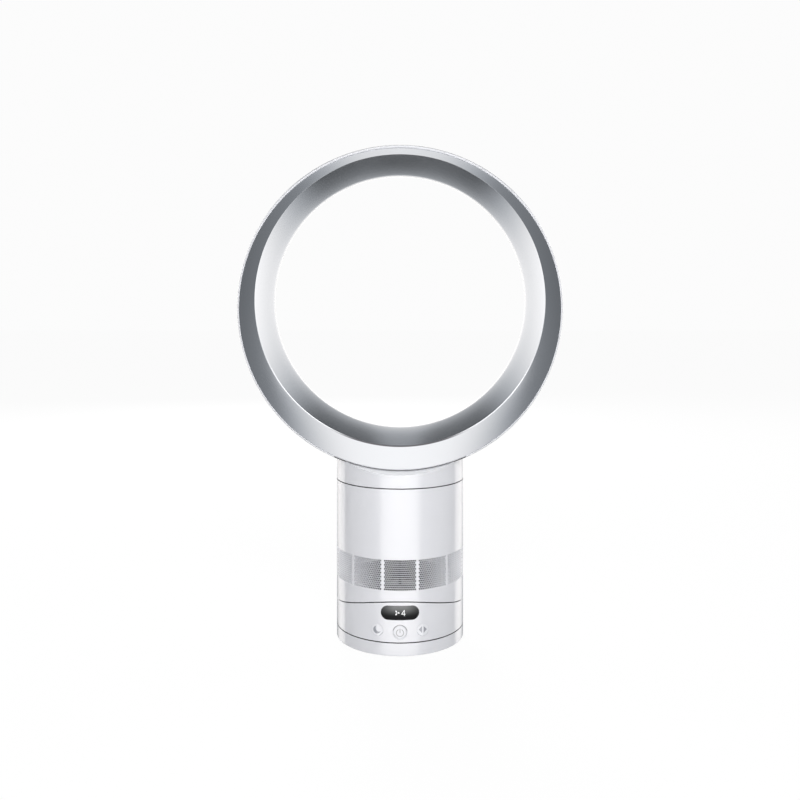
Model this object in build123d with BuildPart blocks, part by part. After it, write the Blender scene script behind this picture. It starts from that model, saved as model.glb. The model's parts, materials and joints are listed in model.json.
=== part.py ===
from build123d import *
from math import acos, cos, pi, radians, sin, sqrt, tan
import os

# A bladeless desk fan. Millimetres, +Z up, front towards -Y.
# The origin is the centre of the foot on the table.

# --- Casing ---------------------------------------------------------------------------
BODY_R = 72.0              # outer radius of foot, control section, main body and neck
WALL = 2.2                 # casing wall
SEAM = 0.8                 # open seam between casings that turn on each other
FIT = 0.1                  # gap around a piece that sits inside a casing
RUN = 0.06                 # radial gap of a shaft in its bore
CLEAR = 0.3                # gap between pieces that move past each other
BORE_R = BODY_R - WALL
INSIDE_R = BORE_R - FIT

# --- Foot -----------------------------------------------------------------------------
PAD_PROUD = 1.0            # how far the rubber foot stands below the foot base
PAD_SEAT = 0.8             # depth of its groove
PAD_R = (BODY_R - 12.0, BODY_R - 3.5)
FLOOR = 2.5                # floor thickness of the foot and of the turntable
FOOT_TOP = 14.8
FOOT_FLOOR = PAD_PROUD + FLOOR
FOOT_EDGE = 0.8            # rounding of the bottom edge
POST_R = 14.0              # hollow pivot post
POST_WALL = 2.6
SKIN = 0.6                 # floor left under a blind screw hole

# --- Ball race between foot and turntable ---------------------------------------------
RACE_R = BODY_R - 20.0
RACE_HALF = 4.0            # half of a race ring's width
RACE_H = 1.8
BALL_R = 2.0
BALL_COUNT = 12
BALL_PLAY = 0.1            # gap between a ball and its groove
GROOVE = 0.5               # depth of the groove
CAGE_HALF = 3.2
CAGE_H = 1.6
BALL_Z = FOOT_FLOOR + RACE_H - GROOVE + BALL_R + BALL_PLAY
UPPER_RACE_Z = 2 * BALL_Z - FOOT_FLOOR - RACE_H     # underside of the upper race ring

# --- Turntable ------------------------------------------------------------------------
TURN_Z = FOOT_TOP + SEAM
TURN_TOP = TURN_Z + FLOOR
HUB_WALL = 3.4
HUB_R = POST_R + RUN + HUB_WALL
HUB_LOW = 8.0
HUB_RISE = 2.9             # hub above the turntable's floor
HUB_TOP = TURN_TOP + HUB_RISE
CLIP_H = 1.2
CLIP_DEEP = 1.4            # depth of the clip's groove in the post
CLIP_WIDE = 2.2            # how far the clip stands out over the hub
CLIP_MOUTH = 11.2          # width of the clip's open side
POST_ABOVE = 1.8           # post above the clip
POST_TOP = HUB_TOP + CLEAR + CLIP_H + POST_ABOVE

# --- Oscillation drive ----------------------------------------------------------------
MODULE = 1.0
GEAR_TEETH = 52
PINION_TEETH = 16
BACKLASH = 0.16
PRESSURE = radians(20)
GEAR_TOP = 13.0
GEAR_LOW = 5.0             # underside of the pinion
DRIVE_Y = MODULE * (GEAR_TEETH + PINION_TEETH) / 2
GEAR_BORE = HUB_R + 1.0
GEAR_ROOT = MODULE * GEAR_TEETH / 2 - 1.25 * MODULE
GEAR_SCREW_R = (GEAR_BORE + GEAR_ROOT) / 2
GEAR_SCREW_BITE = 1.5
DRIVE_SHAFT_R = 2.5
DRIVE_SHAFT_UP = 11.0      # shaft inside the motor
DRIVE_CAN_R = 14.0
DRIVE_CAN_H = 19.0
DRIVE_OFFSET = 8.0         # output shaft to can axis
CAN_Y = DRIVE_Y + DRIVE_OFFSET
DRIVE_BOSS_R = 4.5
DRIVE_BOSS_H = 1.5
EAR_REACH = 17.5
EAR_R = 3.5
EAR_H = 0.8

# --- Tilt: a curved plate slides in a curved cradle -------------------------------------
TILT_R = 177.1             # radius of the seam between control section and main body
TILT_LOW = 43.95           # height of the seam's lowest point
TILT_Z = TILT_LOW + TILT_R # height of the tilt axis, which runs along X
TILT_SEAM = 1.0
TILT_PLATE = 2.5
UPPER_PLATE = 3.0
TILT_TRAVEL = radians(10)
CRADLE_R = TILT_R + TILT_SEAM / 2
UNDER_CRADLE_R = CRADLE_R + TILT_PLATE
UPPER_R = TILT_R - TILT_SEAM / 2
PLATE_TOP_R = UPPER_R - UPPER_PLATE
SLOT_X = 25.0
SLOT_W = 8.0
KEEPER_WEB = 5.0
KEEPER_FLANGE = 14.0
KEEPER_LONG = 40.0
KEEPER_PLAY = 0.4
KEEPER_H = 2.2
SLOT_LONG = KEEPER_LONG + 2 * CRADLE_R * TILT_TRAVEL + 4.0
KEEPER_SCREW_Y = 12.0
KEEPER_SCREW_BITE = 5.0
KEEPER_R = UNDER_CRADLE_R + KEEPER_PLAY
CRADLE_POST = (BODY_R - 22.0, BODY_R - 34.0)
CRADLE_POST_R = 4.0
TILT_PAD = (8.0, 16.0, 2.1)
TILT_PAD_AT = (BODY_R - 27.0, 22.0)

# --- Fasteners ------------------------------------------------------------------------
SCREW_R = 1.25
SCREW_HEAD_R = 2.4
SCREW_HEAD_H = 1.6
THREAD_PLAY = 0.05
SCREW_BITE = 6.0           # how far a long screw goes into what it holds

# --- Front of the control section -----------------------------------------------------
WINDOW_Z = 47.4
WINDOW_W = 40.8
WINDOW_H = 15.3
WINDOW_PANE = 1.6
WINDOW_LEDGE = 1.4
POWER_Z = 26.65
POWER_R = 8.0
SIDE_X = 24.4
SIDE_Z = 28.05
SIDE_R = 6.6
BUTTON_GAP = 0.3
BUTTON_TRAVEL = 0.8
BUTTON_SUNK = 0.2          # cap face below the casing's face
BUTTON_LIP = 1.2           # flange that keeps the cap in its hole
BUTTON_LIP_H = 1.6
STEM_R = 1.5
POWER_DISH = 0.8
SIDE_DISH = 0.35
SWITCH = 6.0
SWITCH_H = 3.5
STEM_IN = 0.3              # stem inside the switch at rest
SWITCH_PIT = STEM_IN + BUTTON_TRAVEL + 0.4
BOARD = 1.6
CONTROL_BOARD_Y = 17.0 - BODY_R    # front face
CONTROL_BOARD = (62.0, 18.0)
CONTROL_BOARD_Z = 27.5
BOARD_BOSS_R = 1.8
CONTROL_BOSS = (12.9, 22.0)
DISPLAY_BOARD_Y = 10.4 - BODY_R    # front face
DISPLAY_BOARD = (42.0, 12.6)
DISPLAY_BOARD_Z = 44.4
DISPLAY_MODULE = (30.0, 5.0, 9.6)
DISPLAY_MODULE_UP = 1.6    # module's centre above the board's
DISPLAY_BOSS = (18.4, 40.6)

# --- Boards on the turntable ----------------------------------------------------------
STANDOFF = 3.9
STANDOFF_R = 2.5
BOARD_Z = TURN_TOP + STANDOFF
PARTS_Z = BOARD_Z + BOARD
# Round components: x, y, radius, height. Square components: x, y, width, depth, height.
ROUND_PARTS = ((-29, -14, 5.0, 10.5), (-29, -27, 4.0, 9.0), (29, -2, 6.5, 8.0))
SQUARE_PARTS = ((29, -26, 14, 9, 10), (-28, 8, 10, 6, 7), (0, -34, 22, 10, 4))
MAIN_BOARD = (BODY_R + 8.0, 66.0)
MAIN_BOARD_Y = -13.0
MAIN_BOARD_HOLE = 19.0
STANDOFF_AT = (BODY_R - 37.0, 27.0)

# --- Power inlet ----------------------------------------------------------------------
INLET_W = 9.0
INLET_H = 9.0
INLET_LONG = 12.5
INLET_BORE_R = 3.0
INLET_PIN_R = 0.9
INLET_DEEP = 9.5

# --- Main body ------------------------------------------------------------------------
MAIN_TOP = 179.3
PANELS = 12
GRILLE_Z = (71.0, 103.8)
GRILLE_ROWS = 5
GRILLE_COLUMNS = 5
GRILLE_HOLE_R = 1.9
PANEL_GAP = 2.0            # solid strip between two panels, degrees
SHELF_TOP = 109.0
SHELF_H = 2.5
SHELF_LOW = SHELF_TOP - SHELF_H
SHELF_R = BODY_R - 15.0
FOAM_TOP = 66.0
FOAM_R = (34.0, BODY_R - 6.0)

# --- Impeller housing, motor and impeller (all on the body's axis) ----------------------
MOUNT_R = BODY_R - 7.0
MOUNT_H = 4.0
MOUNT_SIZE = 3.0
MOUNT_NECK = 1.6
INLET_SEAL_R = (SHELF_R + 1.0, SHELF_R + 4.0)
FLANGE_LOW = SHELF_TOP + MOUNT_H
FLANGE_H = 2.0
FLANGE_TOP = FLANGE_LOW + FLANGE_H
FLANGE_R = BORE_R - 1.0
HOUSING_WALL = 2.0
HOUSING_R = BODY_R - 15.0  # inside, at the diffuser
HOUSING_TOP = 168.0
THROAT_R = 37.5            # inside, at the top of the bell mouth
THROAT_Z = 112.0
BELL_R = THROAT_R + 4.0    # inside, at the bell mouth's lower end
BELL_Z = THROAT_Z - 8.5
BELL_WAIST_R = THROAT_R - 0.8
BELL_WAIST_Z = THROAT_Z - 4.0
BELL_EDGE = (1.6, 1.2)     # outside of the bell's end, outwards and upwards
CONE_TOP = 141.0
CONE_SLOPE = (HOUSING_R - THROAT_R) / (CONE_TOP - THROAT_Z)
CONE_WALL = HOUSING_WALL * sqrt(1 + CONE_SLOPE ** 2)
CORNER = 0.6               # how far the outer corners sit below the inner ones
TIP_GAP = 0.9
IMPELLER_Z = (110.5, 140.0)
HUB_CONE = (9.0, 34.0)     # hub radius at the lower and at the upper end
HUB_RIM = 2.0              # straight part of the hub's upper end
BLADE_SHORT = 1.5          # blades end this far below the hub
BLADE_CUT = 1.0            # blades' lower corner, inwards of the cone
BLADES = 9
BLADE_T = 1.6
BLADE_BOW = 10.0
SHAFT_R = 4.0
SHAFT_Z = (112.0, 167.0)
BUCKET_R = 32.0
BUCKET_WALL = 2.0
BUCKET_Z = (142.0, 165.0)
CAP_H = 3.5
BEARING_R = 9.0
BEARING_H = 4.0
BEARING_WALL = 2.0         # wall of a bearing's seat
LOW_BEARING_Z = BUCKET_Z[0] + 0.5
TOP_BEARING_Z = BUCKET_Z[1] - 2.5
STATOR_R = 29.4
STATOR_YOKE = 5.4
STATOR_Z = (148.0, 160.0)
STATOR_TEETH = 6
TOOTH_W = 5.0
COIL_W = 8.5
AIR_GAP = 0.5
ROTOR_R = 14.2
TOOTH_LONG = STATOR_R - STATOR_YOKE / 2 - ROTOR_R - AIR_GAP
TOOTH_MID = ROTOR_R + AIR_GAP + TOOTH_LONG / 2
STATOR_MID = sum(STATOR_Z) / 2
STATOR_H = STATOR_Z[1] - STATOR_Z[0]
COIL_LONG = 6.3
COIL_MID = 19.45           # a coil's middle, from the motor's axis
DIFFUSER_Z = (146.0, 166.0)
DIFFUSER_WALL = 1.5
VANES = 11
VANE_T = 1.4
VANE_BOW = 6.0
LEAD_R = 1.5
LEAD_Y = 20.0
LEAD_SLOT_W = 16.0         # slot in the cradle that the lead passes through
LEAD_SIDE_Y = BODY_R - 7.6
LEAD_TOP = 150.0
LEAD_RISE = 20.4           # straight run above the tilt plate, before the lead turns outwards
LEAD_UNDER = 8.5           # corner below the shelf, where it turns upwards
LEAD_BEND_R = (16.0, 16.0, 5.0)
GROMMET_WALL = 1.6
GROMMET_LIP = 0.6          # grommet beyond the plate it sits in
CAP_FOAM_R = 26.0
CAP_FOAM_H = 5.0

# --- Bayonet between main body and loop -------------------------------------------------
RING_FLANGE = 2.4
RING_SKIRT_LOW = 166.0
RING_SKIRT = 3.2
DUCT_R = BODY_R - 12.0     # inside of the neck duct
DUCT_WALL = 2.4
DUCT_LOW = 172.0
DUCT_TOP = 190.0
LUGS = 3
LUG_ARC = 12.0
NOTCH_ARC = LUG_ARC + 3.0
LUG_H = 2.9
LUG_Z = DUCT_LOW + 1.0
LUG_OUT = 3.8
TWIST = 15.0
NECK_Z = MAIN_TOP + SEAM
NECK_FLOOR = 2.3
SEAL_H = 3.7

# --- Loop -----------------------------------------------------------------------------
LOOP_R = 179.0
LOOP_LOW = 192.0           # height of the casing's lowest point
LOOP_Z = LOOP_LOW + LOOP_R # axis of the outer casing, which runs along Y
INNER_Z = LOOP_Z + 8.4     # axis of the opening, higher than the casing's
NECK_SADDLE_R = LOOP_R - 2.5   # top of the neck, about the casing's axis
# Points on the casings: place along Y, and radius
CREASE = (-51.0, LOOP_R - 22.4)    # the front edge
RIM = (-42.0, LOOP_R - 3.9)        # where the silver bevel meets the white casing
RIM_Z = LOOP_Z - 1.0
SILVER = 2.0                       # thickness of the silver casing
FLARE_END = (38.0, LOOP_R - 29.0)
SLOT_EDGE = (25.0, LOOP_R - 30.5)  # where the air leaves the slot
LIP_TIP = (25.0, LOOP_R - 33.0)
LIP_T = 1.2
LIP_BEND = (43.0, LOOP_R - 31.5)
REAR = (44.6, LOOP_R - 20.4)       # where the casing turns inwards
REAR_BULGE = (47.4, LOOP_R - 26.2)
LIP_INSIDE = (41.8, LOOP_R - 30.0)
# Outer casing in sections along Y: place, axis above the casing's axis, radius below full
CASING = [
    (-43.4, -0.8, 3.0),
    (-41.4, -0.5, 1.7),
    (-35.0, 0, 0.4),
    (-24.0, 0, 0),
    (0.0, 0.4, 1.1),
    (25.0, 2.2, 6.6),
    (37.0, 4.8, 13.0),
    (REAR[0], INNER_Z - LOOP_Z, LOOP_R - REAR[1]),
]
LOOP_WALL = 2.2
BEVEL_OVER = 0.3           # the bevel's cone starts this share of its length before the crease
SEAT_DEEP = 5.0            # how far back the bevel's seat goes in the casing
SPACERS = 10
SPACER_T = 1.6
SPACER_Y = (27.5, 35.5)
DUCT_HOLE = (90.0, 38.0)   # air opening in the casing's bottom, across and along Y
DUCT_HOLE_Y = -15.0


def save(piece, label):
    """Name a finished piece and write it."""
    piece.part.label = label
    export_step(piece.part, f"parts/{label}.step")


def saddle_z(radius, y):
    """Height of a tilt surface of this radius at y."""
    return TILT_Z - sqrt(radius ** 2 - y ** 2)


def tilt_cylinder(radius, mode):
    """A cylinder about the tilt axis, to cut or trim with."""
    with Locations((0, 0, TILT_Z)):
        Cylinder(radius, 4 * BODY_R, rotation=(0, 90, 0), mode=mode)


def disc(radius, low, high, mode=Mode.ADD):
    """A round block about the body's axis, between two heights."""
    with Locations((0, 0, low)):
        Cylinder(radius, high - low, align=(Align.CENTER, Align.CENTER, Align.MIN), mode=mode)


def ring(outer, inner, low, high, mode=Mode.ADD):
    """A flat ring about the body's axis, between two heights."""
    with BuildPart(mode=Mode.PRIVATE) as flat_ring:
        disc(outer, low, high)
        disc(inner, low, high, Mode.SUBTRACT)
    add(flat_ring.part, mode=mode)


def cone_r(z):
    """Inner radius of the impeller housing's cone at a height."""
    return THROAT_R + CONE_SLOPE * (z - THROAT_Z)


def sectors(turn, arc, low, high):
    """Wedges from the body's axis, one for each bayonet lug, turned by an angle."""
    with BuildPart(mode=Mode.PRIVATE) as wedges:
        with BuildSketch(Plane.XY.offset(low)):
            for lug in range(LUGS):
                middle = 90 + turn + 360 / LUGS * lug
                ends = [radians(middle - arc / 2), radians(middle + arc / 2)]
                with BuildLine():
                    Polyline((0, 0), *[(2 * BODY_R * cos(end), 2 * BODY_R * sin(end)) for end in ends], close=True)
                make_face()
        extrude(amount=high - low)
    return wedges.part


def involute(angle):
    return tan(angle) - angle


def gear_outline(teeth, phase):
    """Outline of an involute gear in the XY plane, with a tooth centred at the phase angle."""
    pitch_r = MODULE * teeth / 2
    base_r = pitch_r * cos(PRESSURE)
    tip_r = pitch_r + MODULE
    root_r = pitch_r - 1.25 * MODULE
    flank_low = max(base_r, root_r)
    steps = 4
    flank = []
    for step in range(steps + 1):
        r = flank_low + (tip_r - flank_low) * step / steps
        spread = involute(PRESSURE) - involute(acos(base_r / r))
        flank.append((r, pi / 2 / teeth - BACKLASH / 2 / pitch_r + spread))
    if root_r < flank_low:
        flank.insert(0, (root_r, flank[0][1]))
    points = []
    for tooth in range(teeth):
        middle = phase + 2 * pi * tooth / teeth
        for r, half in flank:
            points.append((r * cos(middle - half), r * sin(middle - half)))
        for r, half in reversed(flank):
            points.append((r * cos(middle + half), r * sin(middle + half)))
    return points


def screw(low, top, at):
    """A pan-head screw pointing down, its head's underside at top."""
    with Locations((at[0], at[1], 0)):
        with Locations((0, 0, (low + top) / 2)):
            Cylinder(SCREW_R, top - low)
        with Locations((0, 0, top + SCREW_HEAD_H / 2)):
            Cylinder(SCREW_HEAD_R, SCREW_HEAD_H)


os.makedirs("parts", exist_ok=True)

# ======================================================================================
# Foot
# ======================================================================================

with BuildPart() as foot_base:
    disc(BODY_R, PAD_PROUD, FOOT_TOP)
    fillet(foot_base.edges().group_by(Axis.Z)[0], FOOT_EDGE)
    disc(BORE_R, FOOT_FLOOR, FOOT_TOP, Mode.SUBTRACT)
    ring(POST_R, POST_R - POST_WALL, FOOT_FLOOR, POST_TOP)
    ring(POST_R, POST_R - CLIP_DEEP, HUB_TOP + CLEAR, HUB_TOP + CLEAR + CLIP_H, Mode.SUBTRACT)
    ring(PAD_R[1], PAD_R[0], PAD_PROUD, PAD_PROUD + PAD_SEAT, Mode.SUBTRACT)
    with PolarLocations(GEAR_SCREW_R, 3):
        with Locations((0, 0, FOOT_FLOOR)):
            Hole(SCREW_R + THREAD_PLAY, FLOOR - SKIN)
    with Locations((0, BODY_R, FOOT_FLOOR + INLET_H / 2)):
        Box(INLET_W + 2 * FIT, 4 * WALL, INLET_H + 2 * FIT, mode=Mode.SUBTRACT)
save(foot_base, "foot_base")

with BuildPart() as foot_pad:
    ring(PAD_R[1], PAD_R[0], 0, PAD_PROUD + PAD_SEAT)
    fillet(foot_pad.edges().group_by(Axis.Z)[0], PAD_PROUD / 2)
save(foot_pad, "foot_pad")

with BuildPart() as foot_race:
    ring(RACE_R + RACE_HALF, RACE_R - RACE_HALF, FOOT_FLOOR, FOOT_FLOOR + RACE_H)
    with Locations((0, 0, BALL_Z)):
        Torus(RACE_R, BALL_R + BALL_PLAY, mode=Mode.SUBTRACT)
save(foot_race, "foot_race")

with BuildPart() as foot_gear:
    with BuildSketch(Plane.XY.offset(FOOT_FLOOR)):
        with BuildLine():
            Polyline(gear_outline(GEAR_TEETH, pi / 2), close=True)
        make_face()
        Circle(GEAR_BORE, mode=Mode.SUBTRACT)
    extrude(amount=GEAR_TOP - FOOT_FLOOR)
    with PolarLocations(GEAR_SCREW_R, 3):
        with Locations((0, 0, GEAR_TOP)):
            CounterBoreHole(SCREW_R + THREAD_PLAY, SCREW_HEAD_R + FIT, SCREW_HEAD_H)
save(foot_gear, "foot_gear")

with BuildPart() as foot_screws:
    with PolarLocations(GEAR_SCREW_R, 3):
        screw(FOOT_FLOOR - GEAR_SCREW_BITE, GEAR_TOP - SCREW_HEAD_H, (0, 0))
save(foot_screws, "foot_screws")

with BuildPart() as pivot_clip:
    ring(POST_R + CLIP_WIDE, POST_R - CLIP_DEEP + FIT, HUB_TOP + CLEAR, HUB_TOP + CLEAR + CLIP_H)
    with Locations((POST_R, 0, HUB_TOP)):
        Box(2 * POST_R, CLIP_MOUTH, 4 * CLIP_H, mode=Mode.SUBTRACT)
save(pivot_clip, "pivot_clip")

with BuildPart() as power_inlet:
    with Locations((0, BORE_R + WALL - INLET_LONG / 2, FOOT_FLOOR + INLET_H / 2)):
        Box(INLET_W, INLET_LONG, INLET_H)
    with BuildSketch(Plane.XZ.offset(-BODY_R)):
        with Locations((0, FOOT_FLOOR + INLET_H / 2)):
            Circle(INLET_BORE_R)
            Circle(INLET_PIN_R, mode=Mode.SUBTRACT)
    extrude(amount=INLET_DEEP, mode=Mode.SUBTRACT)
    with BuildPart(mode=Mode.INTERSECT):
        disc(BODY_R - FIT, 0, FOOT_TOP)
save(power_inlet, "power_inlet")

# ======================================================================================
# Ball cage, which turns at half the turntable's speed
# ======================================================================================

with BuildPart() as ball_cage:
    ring(RACE_R + CAGE_HALF, RACE_R - CAGE_HALF, BALL_Z - CAGE_H / 2, BALL_Z + CAGE_H / 2)
    with PolarLocations(RACE_R, BALL_COUNT):
        with Locations((0, 0, BALL_Z)):
            Cylinder(BALL_R + BALL_PLAY, 2 * CAGE_H, mode=Mode.SUBTRACT)
save(ball_cage, "ball_cage")

with BuildPart() as bearing_balls:
    with PolarLocations(RACE_R, BALL_COUNT):
        with Locations((0, 0, BALL_Z)):
            Sphere(BALL_R)
save(bearing_balls, "bearing_balls")

# ======================================================================================
# Turntable and what stands on it
# ======================================================================================

CRADLE_POSTS = [(sx * CRADLE_POST[0], sy * CRADLE_POST[1]) for sx in (-1, 1) for sy in (-1, 1)]
STANDOFFS = [(sx * STANDOFF_AT[0], MAIN_BOARD_Y + sy * STANDOFF_AT[1]) for sx in (-1, 1) for sy in (-1, 1)]
PAD_PLACES = [(sx * TILT_PAD_AT[0], sy * TILT_PAD_AT[1]) for sx in (-1, 1) for sy in (-1, 1)]

with BuildPart() as turntable_plate:
    disc(INSIDE_R, TURN_Z, TURN_TOP)
    ring(RACE_R + RACE_HALF, RACE_R - RACE_HALF, UPPER_RACE_Z + RACE_H, TURN_Z)
    disc(HUB_R, HUB_LOW, HUB_TOP)
    disc(POST_R + RUN, HUB_LOW, HUB_TOP, Mode.SUBTRACT)
    with Locations((0, DRIVE_Y, TURN_TOP)):
        Hole(DRIVE_BOSS_R + FIT, FLOOR)
    with Locations(*[(x, y, TURN_TOP + STANDOFF / 2) for x, y in STANDOFFS]):
        Cylinder(STANDOFF_R, STANDOFF)
    with Locations(*[(x, y, TURN_TOP) for x, y in CRADLE_POSTS]):
        Hole(SCREW_R + THREAD_PLAY, FLOOR)
    with Locations(*[(sx * EAR_REACH, CAN_Y, TURN_TOP) for sx in (-1, 1)]):
        Hole(SCREW_R + THREAD_PLAY, FLOOR)
save(turntable_plate, "turntable_plate")

with BuildPart() as turntable_race:
    ring(RACE_R + RACE_HALF, RACE_R - RACE_HALF, UPPER_RACE_Z, UPPER_RACE_Z + RACE_H)
    with Locations((0, 0, BALL_Z)):
        Torus(RACE_R, BALL_R + BALL_PLAY, mode=Mode.SUBTRACT)
save(turntable_race, "turntable_race")

BUTTONS = [("power_button", 0, POWER_Z, POWER_R, POWER_DISH),
           ("sleep_timer_button", -SIDE_X, SIDE_Z, SIDE_R, SIDE_DISH),
           ("oscillation_button", SIDE_X, SIDE_Z, SIDE_R, SIDE_DISH)]

with BuildPart() as control_casing:
    ring(BODY_R, BORE_R, TURN_Z, saddle_z(CRADLE_R, BODY_R) + SEAM)
    # bosses for the two upright boards
    with BuildSketch(Plane.XZ.offset(BODY_R - WALL / 2)):
        with Locations(*[(s * DISPLAY_BOSS[0], DISPLAY_BOSS[1]) for s in (-1, 1)]):
            Circle(BOARD_BOSS_R)
    extrude(amount=-(BODY_R - WALL / 2 + DISPLAY_BOARD_Y))
    with BuildSketch(Plane.XZ.offset(BODY_R - WALL / 2)):
        with Locations(*[(s * CONTROL_BOSS[0], CONTROL_BOSS[1]) for s in (-1, 1)]):
            Circle(BOARD_BOSS_R)
    extrude(amount=-(BODY_R - WALL / 2 + CONTROL_BOARD_Y))
    with BuildPart(mode=Mode.INTERSECT):
        disc(BODY_R, TURN_Z, TILT_Z)
    tilt_cylinder(CRADLE_R, Mode.SUBTRACT)
    # window: a recess for the pane over a smaller opening
    with BuildSketch(Plane.XZ.offset(BODY_R / 2)):
        with Locations((0, WINDOW_Z)):
            SlotOverall(WINDOW_W - 2 * WINDOW_LEDGE, WINDOW_H - 2 * WINDOW_LEDGE)
    extrude(amount=BODY_R, mode=Mode.SUBTRACT)
    with BuildPart(mode=Mode.SUBTRACT):
        with BuildSketch(Plane.XZ.offset(BODY_R / 2)):
            with Locations((0, WINDOW_Z)):
                SlotOverall(WINDOW_W + 2 * FIT, WINDOW_H + 2 * FIT)
        extrude(amount=BODY_R)
        disc(BODY_R - WINDOW_PANE, 0, TILT_Z, Mode.SUBTRACT)
    # button holes
    for _, x, z, radius, _ in BUTTONS:
        with BuildSketch(Plane.XZ.offset(BODY_R / 2)):
            with Locations((x, z)):
                Circle(radius + BUTTON_GAP)
        extrude(amount=BODY_R, mode=Mode.SUBTRACT)
save(control_casing, "control_casing")

with BuildPart() as display_window:
    with BuildSketch(Plane.XZ.offset(BODY_R / 2)):
        with Locations((0, WINDOW_Z)):
            SlotOverall(WINDOW_W, WINDOW_H)
    extrude(amount=BODY_R)
    with BuildPart(mode=Mode.INTERSECT):
        ring(BODY_R, BODY_R - WINDOW_PANE + FIT, TURN_Z, TILT_Z)
save(display_window, "display_window")

with BuildPart() as display_module:
    with Locations((0, DISPLAY_BOARD_Y - DISPLAY_MODULE[1] / 2, DISPLAY_BOARD_Z + DISPLAY_MODULE_UP)):
        Box(*DISPLAY_MODULE)
save(display_module, "display_module")

with BuildPart() as display_board:
    with Locations((0, DISPLAY_BOARD_Y + BOARD / 2, DISPLAY_BOARD_Z)):
        Box(DISPLAY_BOARD[0], BOARD, DISPLAY_BOARD[1])
save(display_board, "display_board")

with BuildPart() as control_board:
    with Locations((0, CONTROL_BOARD_Y + BOARD / 2, CONTROL_BOARD_Z)):
        Box(CONTROL_BOARD[0], BOARD, CONTROL_BOARD[1])
save(control_board, "control_board")

SWITCH_FRONT = CONTROL_BOARD_Y - SWITCH_H

with BuildPart() as tact_switches:
    for _, x, z, radius, _ in BUTTONS:
        with Locations((x, CONTROL_BOARD_Y - SWITCH_H / 2, z)):
            Box(SWITCH, SWITCH_H, SWITCH)
        with Locations((x, SWITCH_FRONT + SWITCH_PIT / 2, z)):
            Cylinder(STEM_R + CLEAR, SWITCH_PIT, rotation=(90, 0, 0), mode=Mode.SUBTRACT)
save(tact_switches, "tact_switches")

with BuildPart() as power_board:
    with Locations((0, MAIN_BOARD_Y, BOARD_Z + BOARD / 2)):
        Box(MAIN_BOARD[0], MAIN_BOARD[1], BOARD)
    disc(MAIN_BOARD_HOLE, TURN_TOP, TILT_Z, Mode.SUBTRACT)
save(power_board, "power_board")

with BuildPart() as board_components:
    # two capacitors and a choke, then a transistor bank, a relay and the harness connector
    for x, y, radius, height in ROUND_PARTS:
        with Locations((x, y, PARTS_Z + height / 2)):
            Cylinder(radius, height)
    for x, y, wide, deep, high in SQUARE_PARTS:
        with Locations((x, y, PARTS_Z + high / 2)):
            Box(wide, deep, high)
save(board_components, "board_components")

with BuildPart() as oscillation_motor:
    with Locations((0, CAN_Y, TURN_TOP + DRIVE_CAN_H / 2)):
        Cylinder(DRIVE_CAN_R, DRIVE_CAN_H)
    with BuildSketch(Plane.XY.offset(TURN_TOP)):
        with Locations((0, CAN_Y)):
            SlotOverall(2 * (EAR_REACH + EAR_R), 2 * EAR_R)
    extrude(amount=EAR_H)
    with Locations(*[(sx * EAR_REACH, CAN_Y, TURN_TOP + EAR_H) for sx in (-1, 1)]):
        Hole(SCREW_R + THREAD_PLAY, EAR_H)
    with Locations((0, DRIVE_Y, TURN_TOP - DRIVE_BOSS_H / 2)):
        Cylinder(DRIVE_BOSS_R, DRIVE_BOSS_H)
    with Locations((0, DRIVE_Y, TURN_TOP)):
        Cylinder(DRIVE_SHAFT_R + RUN, 2 * (DRIVE_SHAFT_UP + CLEAR), mode=Mode.SUBTRACT)
save(oscillation_motor, "oscillation_motor")

with BuildPart() as drive_screws:
    for side in (-1, 1):
        screw(TURN_Z + CLEAR, TURN_TOP + EAR_H, (side * EAR_REACH, CAN_Y))
save(drive_screws, "drive_screws")

with BuildPart() as tilt_cradle:
    disc(INSIDE_R, TURN_TOP, saddle_z(CRADLE_R, BODY_R))
    tilt_cylinder(UNDER_CRADLE_R, Mode.INTERSECT)
    post_top = saddle_z(UNDER_CRADLE_R, CRADLE_POST[1]) + TILT_PLATE / 2
    with Locations(*[(x, y, (TURN_TOP + post_top) / 2) for x, y in CRADLE_POSTS]):
        Cylinder(CRADLE_POST_R, post_top - TURN_TOP)
    tilt_cylinder(CRADLE_R, Mode.SUBTRACT)
    for side in (-1, 1):
        with Locations((side * SLOT_X, 0, saddle_z(CRADLE_R, 0))):
            Box(SLOT_W, SLOT_LONG, BODY_R, mode=Mode.SUBTRACT)
    with Locations((0, LEAD_Y, saddle_z(CRADLE_R, 0))):
        Box(LEAD_SLOT_W, 2 * CRADLE_R * TILT_TRAVEL + SLOT_W, BODY_R, mode=Mode.SUBTRACT)
    with Locations(*[(x, y, TURN_TOP + SCREW_BITE / 2) for x, y in CRADLE_POSTS]):
        Cylinder(SCREW_R + THREAD_PLAY, SCREW_BITE + 1, mode=Mode.SUBTRACT)
    with BuildPart(mode=Mode.SUBTRACT):
        with Locations(*[(x, y, saddle_z(CRADLE_R, y)) for x, y in PAD_PLACES]):
            Box(TILT_PAD[0] + FIT, TILT_PAD[1] + FIT, BODY_R)
        tilt_cylinder(UPPER_R + CLEAR + TILT_PAD[2], Mode.INTERSECT)
save(tilt_cradle, "tilt_cradle")

with BuildPart() as cradle_screws:
    for x, y in CRADLE_POSTS:
        with Locations((x, y, TURN_Z + SCREW_BITE / 2)):
            Cylinder(SCREW_R, SCREW_BITE)
        with Locations((x, y, TURN_Z - SCREW_HEAD_H / 2)):
            Cylinder(SCREW_HEAD_R, SCREW_HEAD_H)
save(cradle_screws, "cradle_screws")

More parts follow.
